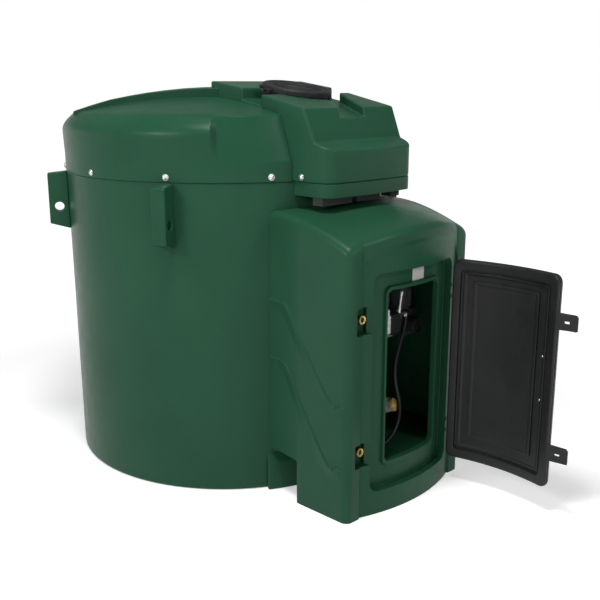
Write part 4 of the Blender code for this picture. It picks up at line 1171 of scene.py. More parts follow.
@dataclass
class Cabinet:
    """The moulded cabinet: one shell with its hood, the sunk doorway and the latch pockets."""

    side_line: Profile = ((0.474, -0.840), (0.482, -0.950), (0.505, -1.120), (0.500, -1.400))
    corner_radius: float = 0.040
    corner_steps: int = 5
    pilaster_front: float = -1.472
    frame_edge: float = 0.3955
    frame_turn: float = 0.4030
    face_level: float = 1.100
    brow_level: float = 1.1065
    roll: float = 0.034
    roll_steps: int = 6
    brow_height: float = 0.030
    brow_fillet: float = 0.030
    fillet_shares: Triple = (0.3, 0.6, 1.0)
    brow_corner: float = 0.090
    straight_ahead: float = -0.99
    inner_stations: tuple[float, ...] = (0.430, 0.4030, 0.3955, 0.3875, 0.3760, 0.3600, 0.3450, 0.3250,
                                         0.3000, 0.2500, 0.2000, 0.1500, 0.1000, 0.0500)
    hood_rows: int = 22
    hood_back: float = -0.950
    hood_depth: float = 0.54
    hood_half: float = 0.48
    hood_edge: Triple = (1.589, 0.149, 1.72)
    hood_camber: Triple = (0.02, 0.09, 1.3)
    hood_rise: float = 0.006
    join_gap: float = 0.0008
    seat_gap: float = 0.0003
    opening: Panel = Panel(-0.2105, 0.2105, 0.2725, 1.2190, 0.030, 1.048)
    recess: Panel = Panel(-0.3330, 0.3330, 0.1300, 1.3250, 0.055, 1.100)
    lip: Panel = Panel(-0.2230, 0.2230, 0.2425, 1.2390, 0.040, 1.048)
    frame_mouth: float = 1.0925
    frame_fillet: float = 0.010
    lip_rise: float = 0.020
    lip_round: float = 0.005
    lip_outside: Profile = ((-0.006, 0.0), (-0.002, 0.001), (0.0, 0.005))
    lip_inside: Profile = ((-0.0035, 0.0200), (-0.0010, 0.0190), (0.0, 0.0160), (0.0, -SHELL),
                           (-0.010, -SHELL))
    tank_radii: Pair = (0.9893, 1.0013)
    tank_facets: int = 160
    tank_height: float = 2.0
    cut_depths: Pair = (-1.75, -1.20)
    notch: Box = ((-0.8, -1.105, -0.3), (0.8, 0.2, 0.250))
    notch_round: float = 0.016
    rim_zone: Pair = (0.46, 1.36)
    rim_slack: float = 0.004
    rim_level: float = 1.096
    rim_angle: float = 45.0
    rim_round: float = 0.006
    rim_segments: int = 4
    pocket_heights: Profile = ((1.015, 1.160), (0.292, 0.425))
    pocket_edges: Pair = (-0.440, -0.325)
    pocket_back: float = -1.420
    pocket_corner: float = 0.012
    pocket_sill: float = -1.4394
    pocket_overcut: float = 0.05
    tray_front: float = -1.4640
    tray_section: Profile = ((0.0, 0.008), (0.0025, 0.0025), (0.008, 0.0))
    tray_gap: float = 0.0002
    tray_rim: float = 0.0085
    base_round: float = 0.002
    waves: tuple[tuple[str, Profile], ...] = (
        ("upper", ((-0.84, 1.118), (-0.918, 1.117), (-0.976, 1.111), (-1.037, 1.078), (-1.331, 0.668),
                   (-1.416, 0.642), (-1.447, 0.646))),
        ("lower", ((-0.84, 0.791), (-0.910, 0.789), (-0.973, 0.786), (-1.050, 0.725), (-1.320, 0.312),
                   (-1.406, 0.306), (-1.447, 0.315))),
    )
    wave_steps: int = 10
    wave_section: Profile = ((-0.0110, -0.0020), (-0.0070, 0.0020), (-0.0030, 0.0060),
                                      (0.0020, 0.0072), (0.0070, 0.0062), (0.0200, 0.0036),
                                      (0.0450, 0.0012), (0.0600, -0.0010), (0.0650, -0.0030))
    wave_sink: float = 0.003

    def side_reach(self, y: float) -> float:
        """Find the cabinet's half width at a depth.

        Args:
            y: The depth.

        Returns:
            The half width there.
        """
        for (wide, near), (narrow, far) in zip(self.side_line, self.side_line[1:]):
            if y >= far:
                share = max(0.0, (y - near) / (far - near))
                return wide + (narrow - wide) * share
        return self.side_line[-1][0]

    def side_surface(self, y: float) -> float:
        """Find how far the side's face is from the middle, round the front corner too.

        Args:
            y: The depth.

        Returns:
            The face's distance from the middle plane.
        """
        past = self.pilaster_front + self.corner_radius - y
        if past <= 0:
            return self.side_reach(y)
        wide = self.side_line[-1][0]
        return wide - self.corner_radius + sqrt(max(self.corner_radius ** 2 - past ** 2, 0.0))

    def hood_height(self, x: float, y: float) -> float:
        """Find the hood's height over a point.

        Args:
            x: The point's distance from the middle plane.
            y: The point's depth.

        Returns:
            The height there.
        """
        share = max(0.0, self.hood_back - y) / self.hood_depth
        start, fall, power = self.hood_edge
        edge = start - fall * share ** power
        start, growth, power = self.hood_camber
        camber = start + growth * share ** power
        return edge + camber * (1 - (x / self.hood_half) ** 2) + self.hood_rise

    def front_stations(self) -> list[tuple[Vector, Vector]]:
        """Walk along the right half of the front, from the corner in.

        Returns:
            Points, each with its outward direction.
        """
        wide = self.side_line[-1][0]
        centre = Vector((wide - self.corner_radius, self.pilaster_front + self.corner_radius))
        result = []
        for index in range(self.corner_steps + 1):
            turn = pi / 2 * index / self.corner_steps
            outward = Vector((cos(turn), -sin(turn)))
            result.append((centre + outward * self.corner_radius, outward))
        straight = Vector((0.0, -1.0))
        for x in self.inner_stations:
            y = self.pilaster_front if x >= self.frame_turn else Panel.depth(self.brow_level, x)
            result.append((Vector((x, y)), straight))
        return result

    def outline(self) -> list[tuple[Vector, Vector]]:
        """Walk along the whole front from the left corner to the right one.

        Returns:
            Points, each with its outward direction.
        """
        right = self.front_stations()
        left = [(Vector((-point.x, point.y)), Vector((-out.x, out.y))) for point, out in right]
        middle = (Vector((0.0, Panel.depth(self.brow_level, 0.0))), Vector((0.0, -1.0)))
        return [*left, middle, *reversed(right)]

    def build(self) -> None:
        """Make the shell and everything that is sunk into it."""
        self.build_shell()
        self.build_doorway()
        self.build_pockets()
        self.build_waves()
        # The cabinet's floor wears the darker green copy: painted shade inside the cabinet.
        base = soften(node_shape("cabinet_floor"), self.base_round, 2)
        deliver("cabinet_base", base, GREEN_PAINTED_SHADE, replaces=["cabinet_floor"])

    def build_shell(self) -> None:
        """Make the hood and the walls as one rolled skin, give it its thickness and open it."""
        front, rows, back = self.outline(), self.hood_rows, self.side_line[0][1]
        columns = len(front) - 1
        shape = bmesh.new()
        bmesh.ops.create_grid(shape, x_segments=columns, y_segments=rows, size=0.5)
        border_out = {}
        for vertex in shape.verts:
            column, row = round((vertex.co.x + 0.5) * columns), round((vertex.co.y + 0.5) * rows)
            point, outward = front[column]
            inner = point - outward * self.roll
            depth = back + (inner.y - back) * row / rows
            wide = self.side_reach(depth) - self.roll
            x = inner.x * wide / (self.side_line[-1][0] - self.roll)
            vertex.co = (x, depth, self.hood_height(x, depth))
            if row == rows:
                border_out[vertex] = outward
            elif column in (0, columns):
                border_out[vertex] = Vector((-1.0 if column == 0 else 1.0, 0.0))
        inner_place = {vertex: vertex.co.copy() for vertex in border_out}
        border = [edge for edge in shape.edges
                  if edge.is_boundary and any(vertex.co.y < back - WELD for vertex in edge.verts)]

        def pull(place: Callable[[Vector, Vector], Vector]) -> None:
            """Pull the border's edges out to where a rule puts each of its points.

            Args:
                place: The rule, from a point's place on the hood and its outward direction.
            """
            nonlocal border, border_out, inner_place
            made = bmesh.ops.extrude_edge_only(shape, edges=border)["geom"]
            edges = [item for item in made if isinstance(item, bmesh.types.BMEdge)]
            fresh = [item for item in made if isinstance(item, bmesh.types.BMVert)]
            old = {tuple(round(value, PLACE_DIGITS) for value in vertex.co): vertex for vertex in border_out}
            next_out, next_place = {}, {}
            for vertex in fresh:
                source = old[tuple(round(value, PLACE_DIGITS) for value in vertex.co)]
                next_out[vertex], next_place[vertex] = border_out[source], inner_place[source]
            for vertex in fresh:
                vertex.co = place(next_place[vertex], next_out[vertex])
            border, border_out, inner_place = edges, next_out, next_place

        def on_roll(turn: float) -> Callable[[Vector, Vector], Vector]:
            """Make the rule that puts a point at a turn of the rolled edge.

            Args:
                turn: How far round the edge, in radians.

            Returns:
                The rule.
            """
            def place(inner: Vector, out: Vector) -> Vector:
                """Put one point on the rolled edge.

                Args:
                    inner: Its place on the hood.
                    out: Its outward direction.

                Returns:
                    Its place on the edge.
                """
                spot = Vector((inner.x, inner.y)) + out * self.roll * sin(turn)
                return Vector((spot.x, spot.y, self.hood_height(spot.x, spot.y)
                               - self.roll * (1 - cos(turn))))
            return place

        def below(drop: float, level: float, floor: bool = False) -> Callable[[Vector, Vector], Vector]:
            """Make the rule that puts a point on a wall below the rolled edge.

            Args:
                drop: How far below the edge.
                level: Radius of the arc that the front lies on there.
                floor: Whether the point goes down to the ground.

            Returns:
                The rule.
            """
            def place(inner: Vector, out: Vector) -> Vector:
                """Put one point on the wall.

                Args:
                    inner: Its place on the hood.
                    out: Its outward direction.

                Returns:
                    Its place on the wall.
                """
                spot = Vector((inner.x, inner.y)) + out * self.roll
                reach = abs(spot.x)
                height = self.hood_height(spot.x, spot.y) - self.roll - drop
                start = self.frame_edge - self.brow_corner
                if reach > start:
                    across = min(reach - start, self.brow_corner)
                    height -= self.brow_corner - sqrt(self.brow_corner ** 2 - across ** 2)
                if reach < self.frame_edge + WELD and out.y < self.straight_ahead:
                    spot.y = Panel.depth(level, spot.x)
                return Vector((spot.x, spot.y, 0.0 if floor else height))
            return place

        for index in range(1, self.roll_steps + 1):
            pull(on_roll(pi / 2 * index / self.roll_steps))
        pull(below(self.brow_height, self.brow_level))
        fillet = self.brow_fillet
        drop_by = self.brow_level - self.face_level
        for share in self.fillet_shares:
            pull(below(self.brow_height + fillet * share, self.brow_level - drop_by * sin(share * pi / 2)))
        pull(below(0.0, self.face_level, floor=True))
        bmesh.ops.recalc_face_normals(shape, faces=shape.faces)

        piece = to_piece("shell_skin", shape)
        wall = piece.modifiers.new("wall", "SOLIDIFY")
        wall.thickness = SHELL
        wall.offset = -1.0
        bpy.context.view_layer.update()
        shape = to_shape(piece)
        shape = cut_away(shape, *self.shell_cutters(), folded=True)
        merge_near(shape, self.join_gap)
        self.round_cut_edges(shape)
        deliver("cabinet_shell", shape, GREEN,
                replaces=["cabinet_hood", "cabinet_side_left", "cabinet_side_right", "front_header",
                          "front_sill", "front_post_left", "front_post_right"])

    def shell_cutters(self) -> list[Shape]:
        """Make what opens the shell: the tank, the sunk doorway, the pockets and the side notch.

        Returns:
            The cutters, in that order.
        """
        tank = bmesh.new()
        bmesh.ops.create_cone(tank, cap_ends=True, segments=self.tank_facets, radius1=self.tank_radii[0],
                              radius2=self.tank_radii[1], depth=self.tank_height)
        bmesh.ops.translate(tank, vec=(0.0, 0.0, self.tank_height / 2), verts=tank.verts)
        front, back = self.cut_depths
        doorway = Skin(self.recess.ring(front)).close().pull(self.recess.ring(back)).close()
        pockets = []
        for foot, top in self.pocket_heights:
            outline = Panel(self.pocket_edges[0], self.pocket_edges[1] + self.pocket_overcut, foot, top,
                            self.pocket_corner, 1.0)
            pocket = Skin(outline.ring(front)).close().pull(outline.ring(self.pocket_back)).close()
            pockets.append(pocket.done())
        notch = block(*self.notch, self.notch_round, 4)
        return [tank, doorway.done(), *pockets, notch]

    def round_cut_edges(self, shape: Shape) -> None:
        """Round the front rim of the doorway and pockets and the foot of the front.

        Args:
            shape: The cabinet's shell.
        """
        def on_front(edge: bmesh.types.BMEdge) -> bool:
            """Tell whether an edge lies on the outer face of the front.

            Args:
                edge: The edge.

            Returns:
                True where it does.
            """
            for vertex in edge.verts:
                x, y, z = vertex.co
                if abs(x) > self.rim_zone[0] or z > self.rim_zone[1]:
                    return False
                if abs(x) > self.frame_edge:
                    proud = y < self.pilaster_front + self.rim_slack
                else:
                    proud = sqrt(x ** 2 + (y - Panel.CENTRE_Y) ** 2) > self.rim_level
                if not proud:
                    return False
            return True

        edges = [edge for edge in shape.edges
                 if len(edge.link_faces) == 2 and edge.calc_face_angle(0.0) > radians(self.rim_angle)
                 and on_front(edge)]
        bmesh.ops.bevel(shape, geom=edges, offset=self.rim_round, offset_type="OFFSET",
                        segments=self.rim_segments, profile=0.5, affect="EDGES", material=-1,
                        clamp_overlap=True)

    def build_doorway(self) -> None:
        """Make the sunk frame behind the front with the raised lip round the opening."""
        wall, lip, ground = self.recess.inset(-self.seat_gap), self.lip, self.lip.level
        panels = [wall.inset(0.0, self.frame_mouth), wall.inset(0.0, ground + self.frame_fillet)]
        panels += rolled(wall.inset(0.0, ground), self.frame_fillet, False)
        panels += [lip.inset(margin, ground + rise) for margin, rise in self.lip_outside]
        panels += rolled(lip.inset(0.0, ground + self.lip_rise), self.lip_round, True)
        panels += [self.opening.inset(margin, ground + rise) for margin, rise in self.lip_inside]
        rings = [panel.ring() for panel in panels]
        shape = Skin(rings[0]).pull(*rings[1:]).done()
        for foot, top in self.pocket_heights:
            for height in (foot, top):
                side = [face for face in shape.faces if face.calc_center_median().x < wall.left + SHELL]
                geometry = dict.fromkeys(item for face in side for item in (face, *face.edges, *face.verts))
                bmesh.ops.bisect_plane(shape, geom=list(geometry), plane_co=(0.0, 0.0, height),
                                       plane_no=UP, dist=WELD)
            in_way = [face for face in shape.faces
                      if all(vertex.co.x < wall.left + WELD for vertex in face.verts)
                      and foot < face.calc_center_median().z < top
                      and face.calc_center_median().y < self.pocket_back]
            bmesh.ops.delete(shape, geom=in_way, context="FACES")
        deliver("doorway_frame", shape, GREEN,
                replaces=["frame_left", "frame_right", "opening_lip"])

    def build_pockets(self) -> None:
        """Make the sunk tray behind each latch pocket, with the rim round the door tab's way in; the trays
        are darker green, painted shade in the pockets.
        """
        trays = bmesh.new()
        for foot, top in self.pocket_heights:
            outline = Panel(self.pocket_edges[0] - self.seat_gap, self.recess.left + self.pocket_corner,
                            foot - self.seat_gap, top + self.seat_gap, self.pocket_corner, 1.0)
            rings = [outline.inset(margin).ring(self.pocket_back - rise)
                     for margin, rise in self.tray_section]
            tray = Skin(outline.ring(self.tray_front)).pull(*rings).close().done()
            end = self.recess.left - self.tray_gap
            bmesh.ops.bisect_plane(tray, geom=[*tray.verts, *tray.edges, *tray.faces],
                                   plane_co=(end, 0.0, 0.0), plane_no=RIGHT, clear_outer=True)
            rim = [edge for edge in tray.edges
                   if all(vertex.co.x > end - WELD and vertex.co.y > self.pocket_back - self.tray_rim
                          for vertex in edge.verts)]
            made = bmesh.ops.extrude_edge_only(tray, edges=rim)["geom"]
            for item in made:
                if isinstance(item, bmesh.types.BMVert):
                    item.co.y = self.pocket_sill
            stamp(trays, tray, AS_IT_IS)
        # The trays wear the darker green copy: painted shade inside the pockets.
        deliver("pocket_trays", trays, GREEN_PAINTED_SHADE)

    def build_waves(self) -> None:
        """Make the shallow waves moulded in each side."""
        for word, line in self.waves:
            path = smooth_points(line, self.wave_steps)
            rings = []
            for index, spot in enumerate(path):
                ahead = path[min(index + 1, len(path) - 1)] - path[max(index - 1, 0)]
                across = Vector((ahead.y, -ahead.x)).normalized()
                fade = min(1.0, (len(path) - 1 - index) / self.wave_steps)
                ring = []
                for reach, proud in self.wave_section:
                    place = spot - across * reach
                    height = (proud + self.wave_sink) * fade - self.wave_sink
                    ring.append((-self.side_surface(place.x) - height, place.x, place.y))
                rings.append(ring)
            shape = Skin(rings[0]).close().pull(*rings[1:]).close().done()
            deliver(f"side_wave_{word}_left", shape.copy(), GREEN)
            deliver(f"side_wave_{word}_right", mirrored(shape), GREEN)
            shape.free()


@dataclass
class Locks:
    """The brass lock ring with its black barrel in each latch pocket."""

    x: float = -0.3620
    back: float = -1.4200
    heights: tuple[tuple[str, float], ...] = (("lock_upper", 1.085), ("lock_lower", 0.360))
    ring: Profile = ((0.0150, 0.0120), (0.0225, 0.0120), (0.0235, 0.0140), (0.0235, 0.0190),
                              (0.0220, 0.0215), (0.0200, 0.0220), (0.0175, 0.0205), (0.0165, 0.0180),
                              (0.0150, 0.0170), (0.0150, 0.0120))
    barrel: Profile = ((0.0, 0.0180), (0.0100, 0.0180), (0.0120, 0.0170), (0.0152, 0.0165),
                                (0.0152, 0.0118), (0.0215, 0.0118), (0.0235, 0.0100), (0.0235, 0.0),
                                (0.0, 0.0))
    facets: tuple[int, int] = (40, 32)
    keyway: Box = ((-0.0014, -0.006, 0.013), (0.0014, 0.006, 0.03))
    catch: Box = ((-0.056, -0.020, 0.0), (-0.026, 0.016, 0.013))
    catch_round: float = 0.003

    def build(self) -> None:
        """Make both locks."""
        barrels = bmesh.new()
        for node, height in self.heights:
            place = facing((self.x, self.back, height), FORWARD)
            ring = turned(self.ring, self.facets[0])
            bmesh.ops.transform(ring, matrix=place, verts=ring.verts)
            deliver(f"{node}_ring", ring, BRASS, replaces=[node])
            core = cut_away(turned(self.barrel, self.facets[1]), block(*self.keyway))
            stamp(barrels, core, place)
            stamp(barrels, block(*self.catch, self.catch_round), place)
        deliver("lock_barrels", barrels, BLACK)


@dataclass
class Door:
    """The bowed door with its sealing groove, sunk field, liner panel and latch tabs."""

    axis: Pair = (0.3425, -1.4744)
    opened: float = 92.0
    outline: Panel = Panel(-0.3200, 0.3180, 0.1450, 1.3150, 0.045, 1.100)
    back_level: float = 1.058
    groove: Panel = Panel(-0.2650, 0.2700, 0.2050, 1.2600, 0.022, 1.058)
    groove_level: float = 1.076
    liner: Panel = Panel(-0.1940, 0.2000, 0.2830, 1.2000, 0.014, 1.066)
    tab_heights: tuple[tuple[str, float, float], ...] = (("latch_tab_upper", 1.030, 1.130),
                                                         ("latch_tab_lower", 0.310, 0.410))
    face_round: float = 0.012
    parting: Profile = ((0.0, 1.078), (0.003, 1.0765))
    back_round: float = 0.010
    groove_mouth: Profile = ((-0.0060, 0.0), (-0.0015, 0.0020), (0.0, 0.0060))
    groove_floor: Profile = ((0.0, -0.0030), (0.0030, 0.0), (0.0120, 0.0), (0.0130, -0.0050),
                             (0.0170, -0.0065), (0.0230, -0.0060), (0.0300, 0.0))
    liner_seat: float = 0.0002
    liner_section: Profile = ((0.0, 0.0030), (0.0010, 0.0008), (0.0030, 0.0), (0.0160, 0.0),
                              (0.0190, 0.0015), (0.0220, 0.0030))
    tab_sides: Pair = (-0.430, -0.310)
    tab_faces: Pair = (-1.4570, -1.4450)
    tab_margin: float = 0.004
    tab_round: float = 0.0035
    taper_start: float = 0.320
    taper_length: float = 0.110
    taper: float = 0.16
    slot_sides: Pair = (-0.3865, -0.3565)
    slot_depths: Pair = (-1.50, -1.40)
    slot_half: float = 0.0070
    rib_sides: Pair = (-0.420, -0.316)
    rib_faces: Pair = (-1.4620, -1.4560)
    rib_margin: float = 0.010
    rib_half: float = 0.0040
    rib_round: float = 0.0020
    screw_x: float = -0.2325
    screw_heights: Pair = (0.866, 0.624)
    screw_seat: float = 0.0008
    screw: Profile = ((0.0, 0.0030), (0.0030, 0.0028), (0.0052, 0.0016), (0.0060, 0.0), (0.0060, -0.002),
                      (0.0, -0.002))
    cup: Profile = ((0.0, 0.0006), (0.0100, 0.0006), (0.0110, 0.0020), (0.0125, 0.0024),
                    (0.0138, 0.0010), (0.0140, -0.003), (0.0, -0.003))
    mark: Profile = ((0.0, -0.0004), (0.0040, 0.0), (0.0055, 0.0012), (0.0075, 0.0014),
                     (0.0090, 0.0), (0.0090, -0.002), (0.0, -0.002))
    mark_place: Pair = (0.005, 0.742)
    mark_seat: float = 0.0028
    fitting_facets: tuple[int, int, int] = (20, 28, 24)

    def swing(self) -> Matrix:
        """Work out the turn that opens the door on its hinge axis.

        Returns:
            The turn as a matrix.
        """
        place = Vector((*self.axis, 0.0))
        return (Matrix.Translation(place) @ Matrix.Rotation(radians(self.opened), 4, "Z")
                @ Matrix.Translation(-place))

    def opened_shape(self, shape: Shape) -> Shape:
        """Return a shape of the closed door, turned to where the door stands."""
        bmesh.ops.transform(shape, matrix=self.swing(), verts=shape.verts)
        return shape

    def build(self) -> None:
        """Make the door's panel, liner, tabs and small fittings."""
        self.build_panel()
        self.build_liner()
        self.build_tabs()
        self.build_fittings()

    def build_panel(self) -> None:
        """Make the slab from its middle outside, round its edge and into the sunk field inside."""
        panels = list(reversed(rolled(self.outline, self.face_round, True)))
        panels += [self.outline.inset(margin, level) for margin, level in self.parting]
        back = self.outline.inset(self.parting[-1][0], self.back_level)
        panels += rolled(back, self.back_round, False)
        panels += [self.groove.inset(margin, self.back_level + rise) for margin, rise in self.groove_mouth]
        panels += [self.groove.inset(margin, self.groove_level + rise) for margin, rise in self.groove_floor]
        rings = [panel.ring() for panel in panels]
        skin = Skin(rings[0]).close_arch().pull(*rings[1:]).close_arch()
        deliver("door_shell", self.opened_shape(skin.done()), CHARCOAL, Part.DOOR,
                replaces=["door_panel"])

    def build_liner(self) -> None:
        """Make the raised liner panel with its stepped border."""
        foot = self.liner
        panels = [foot.inset(0.0, self.groove_level - self.liner_seat)]
        panels += [foot.inset(margin, foot.level + rise) for margin, rise in self.liner_section]
        rings = [panel.ring() for panel in panels]
        skin = Skin(rings[0]).close_arch().pull(*rings[1:]).close_arch()
        deliver("door_lining", self.opened_shape(skin.done()), CHARCOAL, Part.DOOR,
                replaces=["door_liner"])

    def build_tabs(self) -> None:
        """Make the latch tabs, each with its slot and two ribs."""
        for name, foot, top in self.tab_heights:
            middle = (foot + top) / 2
            plate = self.bar(self.tab_sides, self.tab_faces, (foot + self.tab_margin, top - self.tab_margin),
                             self.tab_round)
            for vertex in plate.verts:
                share = max(0.0, (-vertex.co.x - self.taper_start) / self.taper_length)
                vertex.co.z = middle + (vertex.co.z - middle) * (1.0 - self.taper * share)
            slot = self.bar(self.slot_sides, self.slot_depths,
                            (middle - self.slot_half, middle + self.slot_half))
            plate = cut_away(plate, slot)
            for height in (foot + self.rib_margin, top - self.rib_margin):
                rib = self.bar(self.rib_sides, self.rib_faces,
                               (height - self.rib_half, height + self.rib_half), self.rib_round)
                stamp(plate, rib, AS_IT_IS)
                rib.free()
            deliver(f"door_{name}", self.opened_shape(plate), CHARCOAL, Part.DOOR, replaces=[name])

    @staticmethod
    def bar(sides: Pair, faces: Pair, heights: Pair, round_by: float = 0.0) -> Shape:
        """Make a block from its reach along each axis.

        Args:
            sides: Its lowest and highest x.
            faces: Its lowest and highest y.
            heights: Its lowest and highest z.
            round_by: How far the rounding reaches from each edge.

        Returns:
            The block.
        """
        low, high = zip(sides, faces, heights)
        return block(low, high, round_by)

    def build_fittings(self) -> None:
        """Make the screws in their cups and the round moulding mark in the middle."""
        screw, cup, mark = (turned(profile, facets) for profile, facets
                            in zip((self.screw, self.cup, self.mark), self.fitting_facets))
        screws, cups = bmesh.new(), bmesh.new()
        x = self.screw_x
        for height in self.screw_heights:
            spot = (x, Panel.depth(self.groove_level - self.liner_seat, x), height)
            inward = Vector((-x, Panel.CENTRE_Y - spot[1], 0.0)).normalized()
            stamp(cups, cup, facing(spot, inward))
            stamp(screws, screw, facing(Vector(spot) + inward * self.screw_seat, inward))
        x, height = self.mark_place
        spot = (x, Panel.depth(self.liner.level + self.mark_seat, x), height)
        stamp(cups, mark, facing(spot, -FORWARD))
        deliver("door_screws", self.opened_shape(screws), ZINC, Part.DOOR)
        deliver("door_bosses", self.opened_shape(cups), CHARCOAL, Part.DOOR)
        for pattern in (screw, cup, mark):
            pattern.free()


@dataclass
class Equipment:
    """What stands in the cabinet: the pump set, the nozzle, the hose and the filling point."""

    hose_radius: float = 0.0135
    hose_points: int = 120
    route: tuple[Triple, ...] = (
        (0.2196, -1.262, 0.9745), (0.2195, -1.262, 0.945), (0.204, -1.262, 0.880), (0.160, -1.265, 0.790),
        (0.118, -1.272, 0.680), (0.116, -1.285, 0.575), (0.126, -1.305, 0.475), (0.088, -1.330, 0.375),
        (-0.015, -1.350, 0.302), (-0.140, -1.335, 0.280), (-0.262, -1.270, 0.300),
        (-0.335, -1.230, 0.400), (-0.345, -1.210, 0.560), (-0.325, -1.200, 0.740),
        (-0.285, -1.195, 0.902), (-0.260, -1.195, 0.961), (-0.200, -1.195, 0.985),
        (-0.140, -1.195, 0.961), (-0.113, -1.198, 0.902), (-0.080, -1.215, 0.750),
        (-0.040, -1.245, 0.560), (-0.050, -1.270, 0.420), (-0.145, -1.265, 0.345),
        (-0.250, -1.220, 0.400), (-0.292, -1.180, 0.560), (-0.290, -1.165, 0.760),
        (-0.284, -1.160, 0.902), (-0.260, -1.160, 0.961), (-0.200, -1.160, 0.985),
        (-0.140, -1.160, 0.961), (-0.115, -1.162, 0.902), (-0.097, -1.168, 0.800),
        (-0.083, -1.185, 0.640), (-0.055, -1.205, 0.480), (0.000, -1.208, 0.425), (0.048, -1.200, 0.470),
        (0.060, -1.187, 0.570), (0.060, -1.185, 0.640), (0.060, -1.185, 0.6995))
    hose_length: float = 4.28
    hose_bevel: int = 4
    route_steps: int = 24
    nozzle_spot: Triple = (0.060, -1.185, 0.0)
    nozzle_facets: int = 28
    swivel: Profile = ((0.0, 0.7000), (0.0150, 0.7000), (0.0165, 0.7040), (0.0165, 0.7260),
                       (0.0140, 0.7300), (0.0140, 0.7480), (0.0, 0.7480))
    gun: Profile = ((0.0, 0.7482), (0.0150, 0.7482), (0.0170, 0.7560), (0.0170, 0.8380),
                    (0.0145, 0.8480), (0.0120, 0.8600), (0.0120, 0.9500), (0.0110, 0.9600), (0.0, 0.9600))
    guard: Box = ((0.054, -1.2150, 0.7600), (0.066, -1.2080, 0.8400))
    guard_round: float = 0.003
    guard_ends: tuple[Box, ...] = (((0.054, -1.2100, 0.7600), (0.066, -1.1960, 0.7680)),
                                   ((0.054, -1.2100, 0.8320), (0.066, -1.1960, 0.8400)))
    guard_end_round: float = 0.002
    stand_round: float = 0.002
    casing: Box = ((0.2000, -1.2400, 0.8300), (0.3400, -1.1203, 0.9900))
    casing_round: float = 0.014
    bolt: Profile = ((0.0, 0.006), (0.006, 0.006), (0.008, 0.004), (0.008, -0.004), (0.0, -0.004))
    bolt_sides: int = 6
    bolt_grid: tuple[Pair, Pair] = ((0.216, 0.324), (0.848, 0.972))
    elbow: Box = ((0.2030, -1.2800, 0.9753), (0.2360, -1.2000, 0.9880))
    elbow_round: float = 0.004
    nut: Profile = ((0.0, 0.012), (0.0160, 0.012), (0.0170, 0.010), (0.0170, -0.004), (0.0, -0.004))
    nut_place: Triple = (0.2196, -1.262, 0.9753)
    holder: Box = ((0.0450, -1.2600, 0.8800), (0.0930, -1.2220, 0.9900))
    holder_round: float = 0.010
    holder_cap: Box = ((0.0600, -1.2520, 0.9850), (0.0900, -1.2300, 1.0220))
    holder_cap_round: float = 0.006
    relay: Box = ((0.0950, -1.2580, 0.8760), (0.1750, -1.2240, 0.9860))
    relay_round: float = 0.008
    button: Profile = ((0.0, 0.004), (0.006, 0.004), (0.008, 0.002), (0.008, -0.003), (0.0, -0.003))
    button_facets: int = 16
    button_x: float = 0.160
    button_heights: Pair = (0.9000, 0.9620)
    link: Box = ((0.1740, -1.2480, 0.9200), (0.1998, -1.2300, 0.9500))
    link_round: float = 0.003
    bypass: Profile = ((0.0, 0.0), (0.0075, 0.0), (0.0085, 0.004), (0.0085, 0.030), (0.0065, 0.034),
                       (0.0065, 0.096), (0.0085, 0.100), (0.0085, 0.122), (0.0, 0.122))
    bypass_facets: int = 24
    bypass_place: Triple = (0.1770, -1.2450, 0.9862)
    bypass_axis: Triple = (0.022, 0.0, 0.119)
    round_facets: int = 48
    motor: Profile = ((0.0, 1.1250), (0.0420, 1.1250), (0.0500, 1.1200), (0.0540, 1.1100),
                      (0.0540, 1.0000), (0.0560, 0.9950), (0.0560, 0.9903), (0.0, 0.9903))
    motor_spot: Triple = (0.270, -1.182, 0.0)
    fin: Box = ((0.048, -0.0014, 1.0060), (0.0580, 0.0014, 1.1060))
    fin_round: float = 0.0008
    fins: int = 24
    meter: Profile = ((0.0, 0.0530), (0.0340, 0.0530), (0.0360, 0.0590), (0.0420, 0.0597),
                      (0.0450, 0.0560), (0.0450, 0.0), (0.0, 0.0))
    meter_place: Triple = (0.285, -1.2403, 0.902)
    saddle_round: float = 0.004
    cap: Profile = ((0.0, 0.0260), (0.0200, 0.0260), (0.0220, 0.0230), (0.0310, 0.0220), (0.0330, 0.0235),
                    (0.0370, 0.0235), (0.0380, 0.0210), (0.0380, 0.0030), (0.0365, 0.0), (0.0, 0.0))
    cap_radius: float = 0.038
    ear_half: Pair = (0.010, 0.012)
    ear_heights: Pair = (0.006, 0.018)
    ear_round: float = 0.003
    cap_place: Triple = (0.205, -1.1900, 0.405)
    cap_axis: Triple = (0.35, -0.80, 0.45)
    cap_turn: float = 90.0
    neck: Profile = ((0.0, -0.0600), (0.0300, -0.0600), (0.0320, -0.0560), (0.0320, -0.0160),
                     (0.0340, -0.0140), (0.0340, -0.0003), (0.0, -0.0003))
    neck_facets: int = 40

    def build(self) -> None:
        """Make all the equipment."""
        self.build_hose(self.build_swivel())
        self.build_nozzle()
        self.build_pump()
        self.build_fill_point()

    def hose_path(self) -> list[Vector]:
        """Space points evenly along the hose's route.

        Returns:
            The points of its centreline.
        """
        dense = smooth_points(self.route, self.route_steps)
        lengths = [0.0]
        for start, end in zip(dense, dense[1:]):
            lengths.append(lengths[-1] + (end - start).length)
        chosen, position = [], 0
        for index in range(self.hose_points):
            target = lengths[-1] * index / (self.hose_points - 1)
            while position < len(lengths) - 2 and lengths[position + 1] < target:
                position += 1
            span = lengths[position + 1] - lengths[position]
            chosen.append(dense[position].lerp(dense[position + 1], (target - lengths[position]) / span))
        LOG.info("hose length %.4f", lengths[-1])
        return chosen

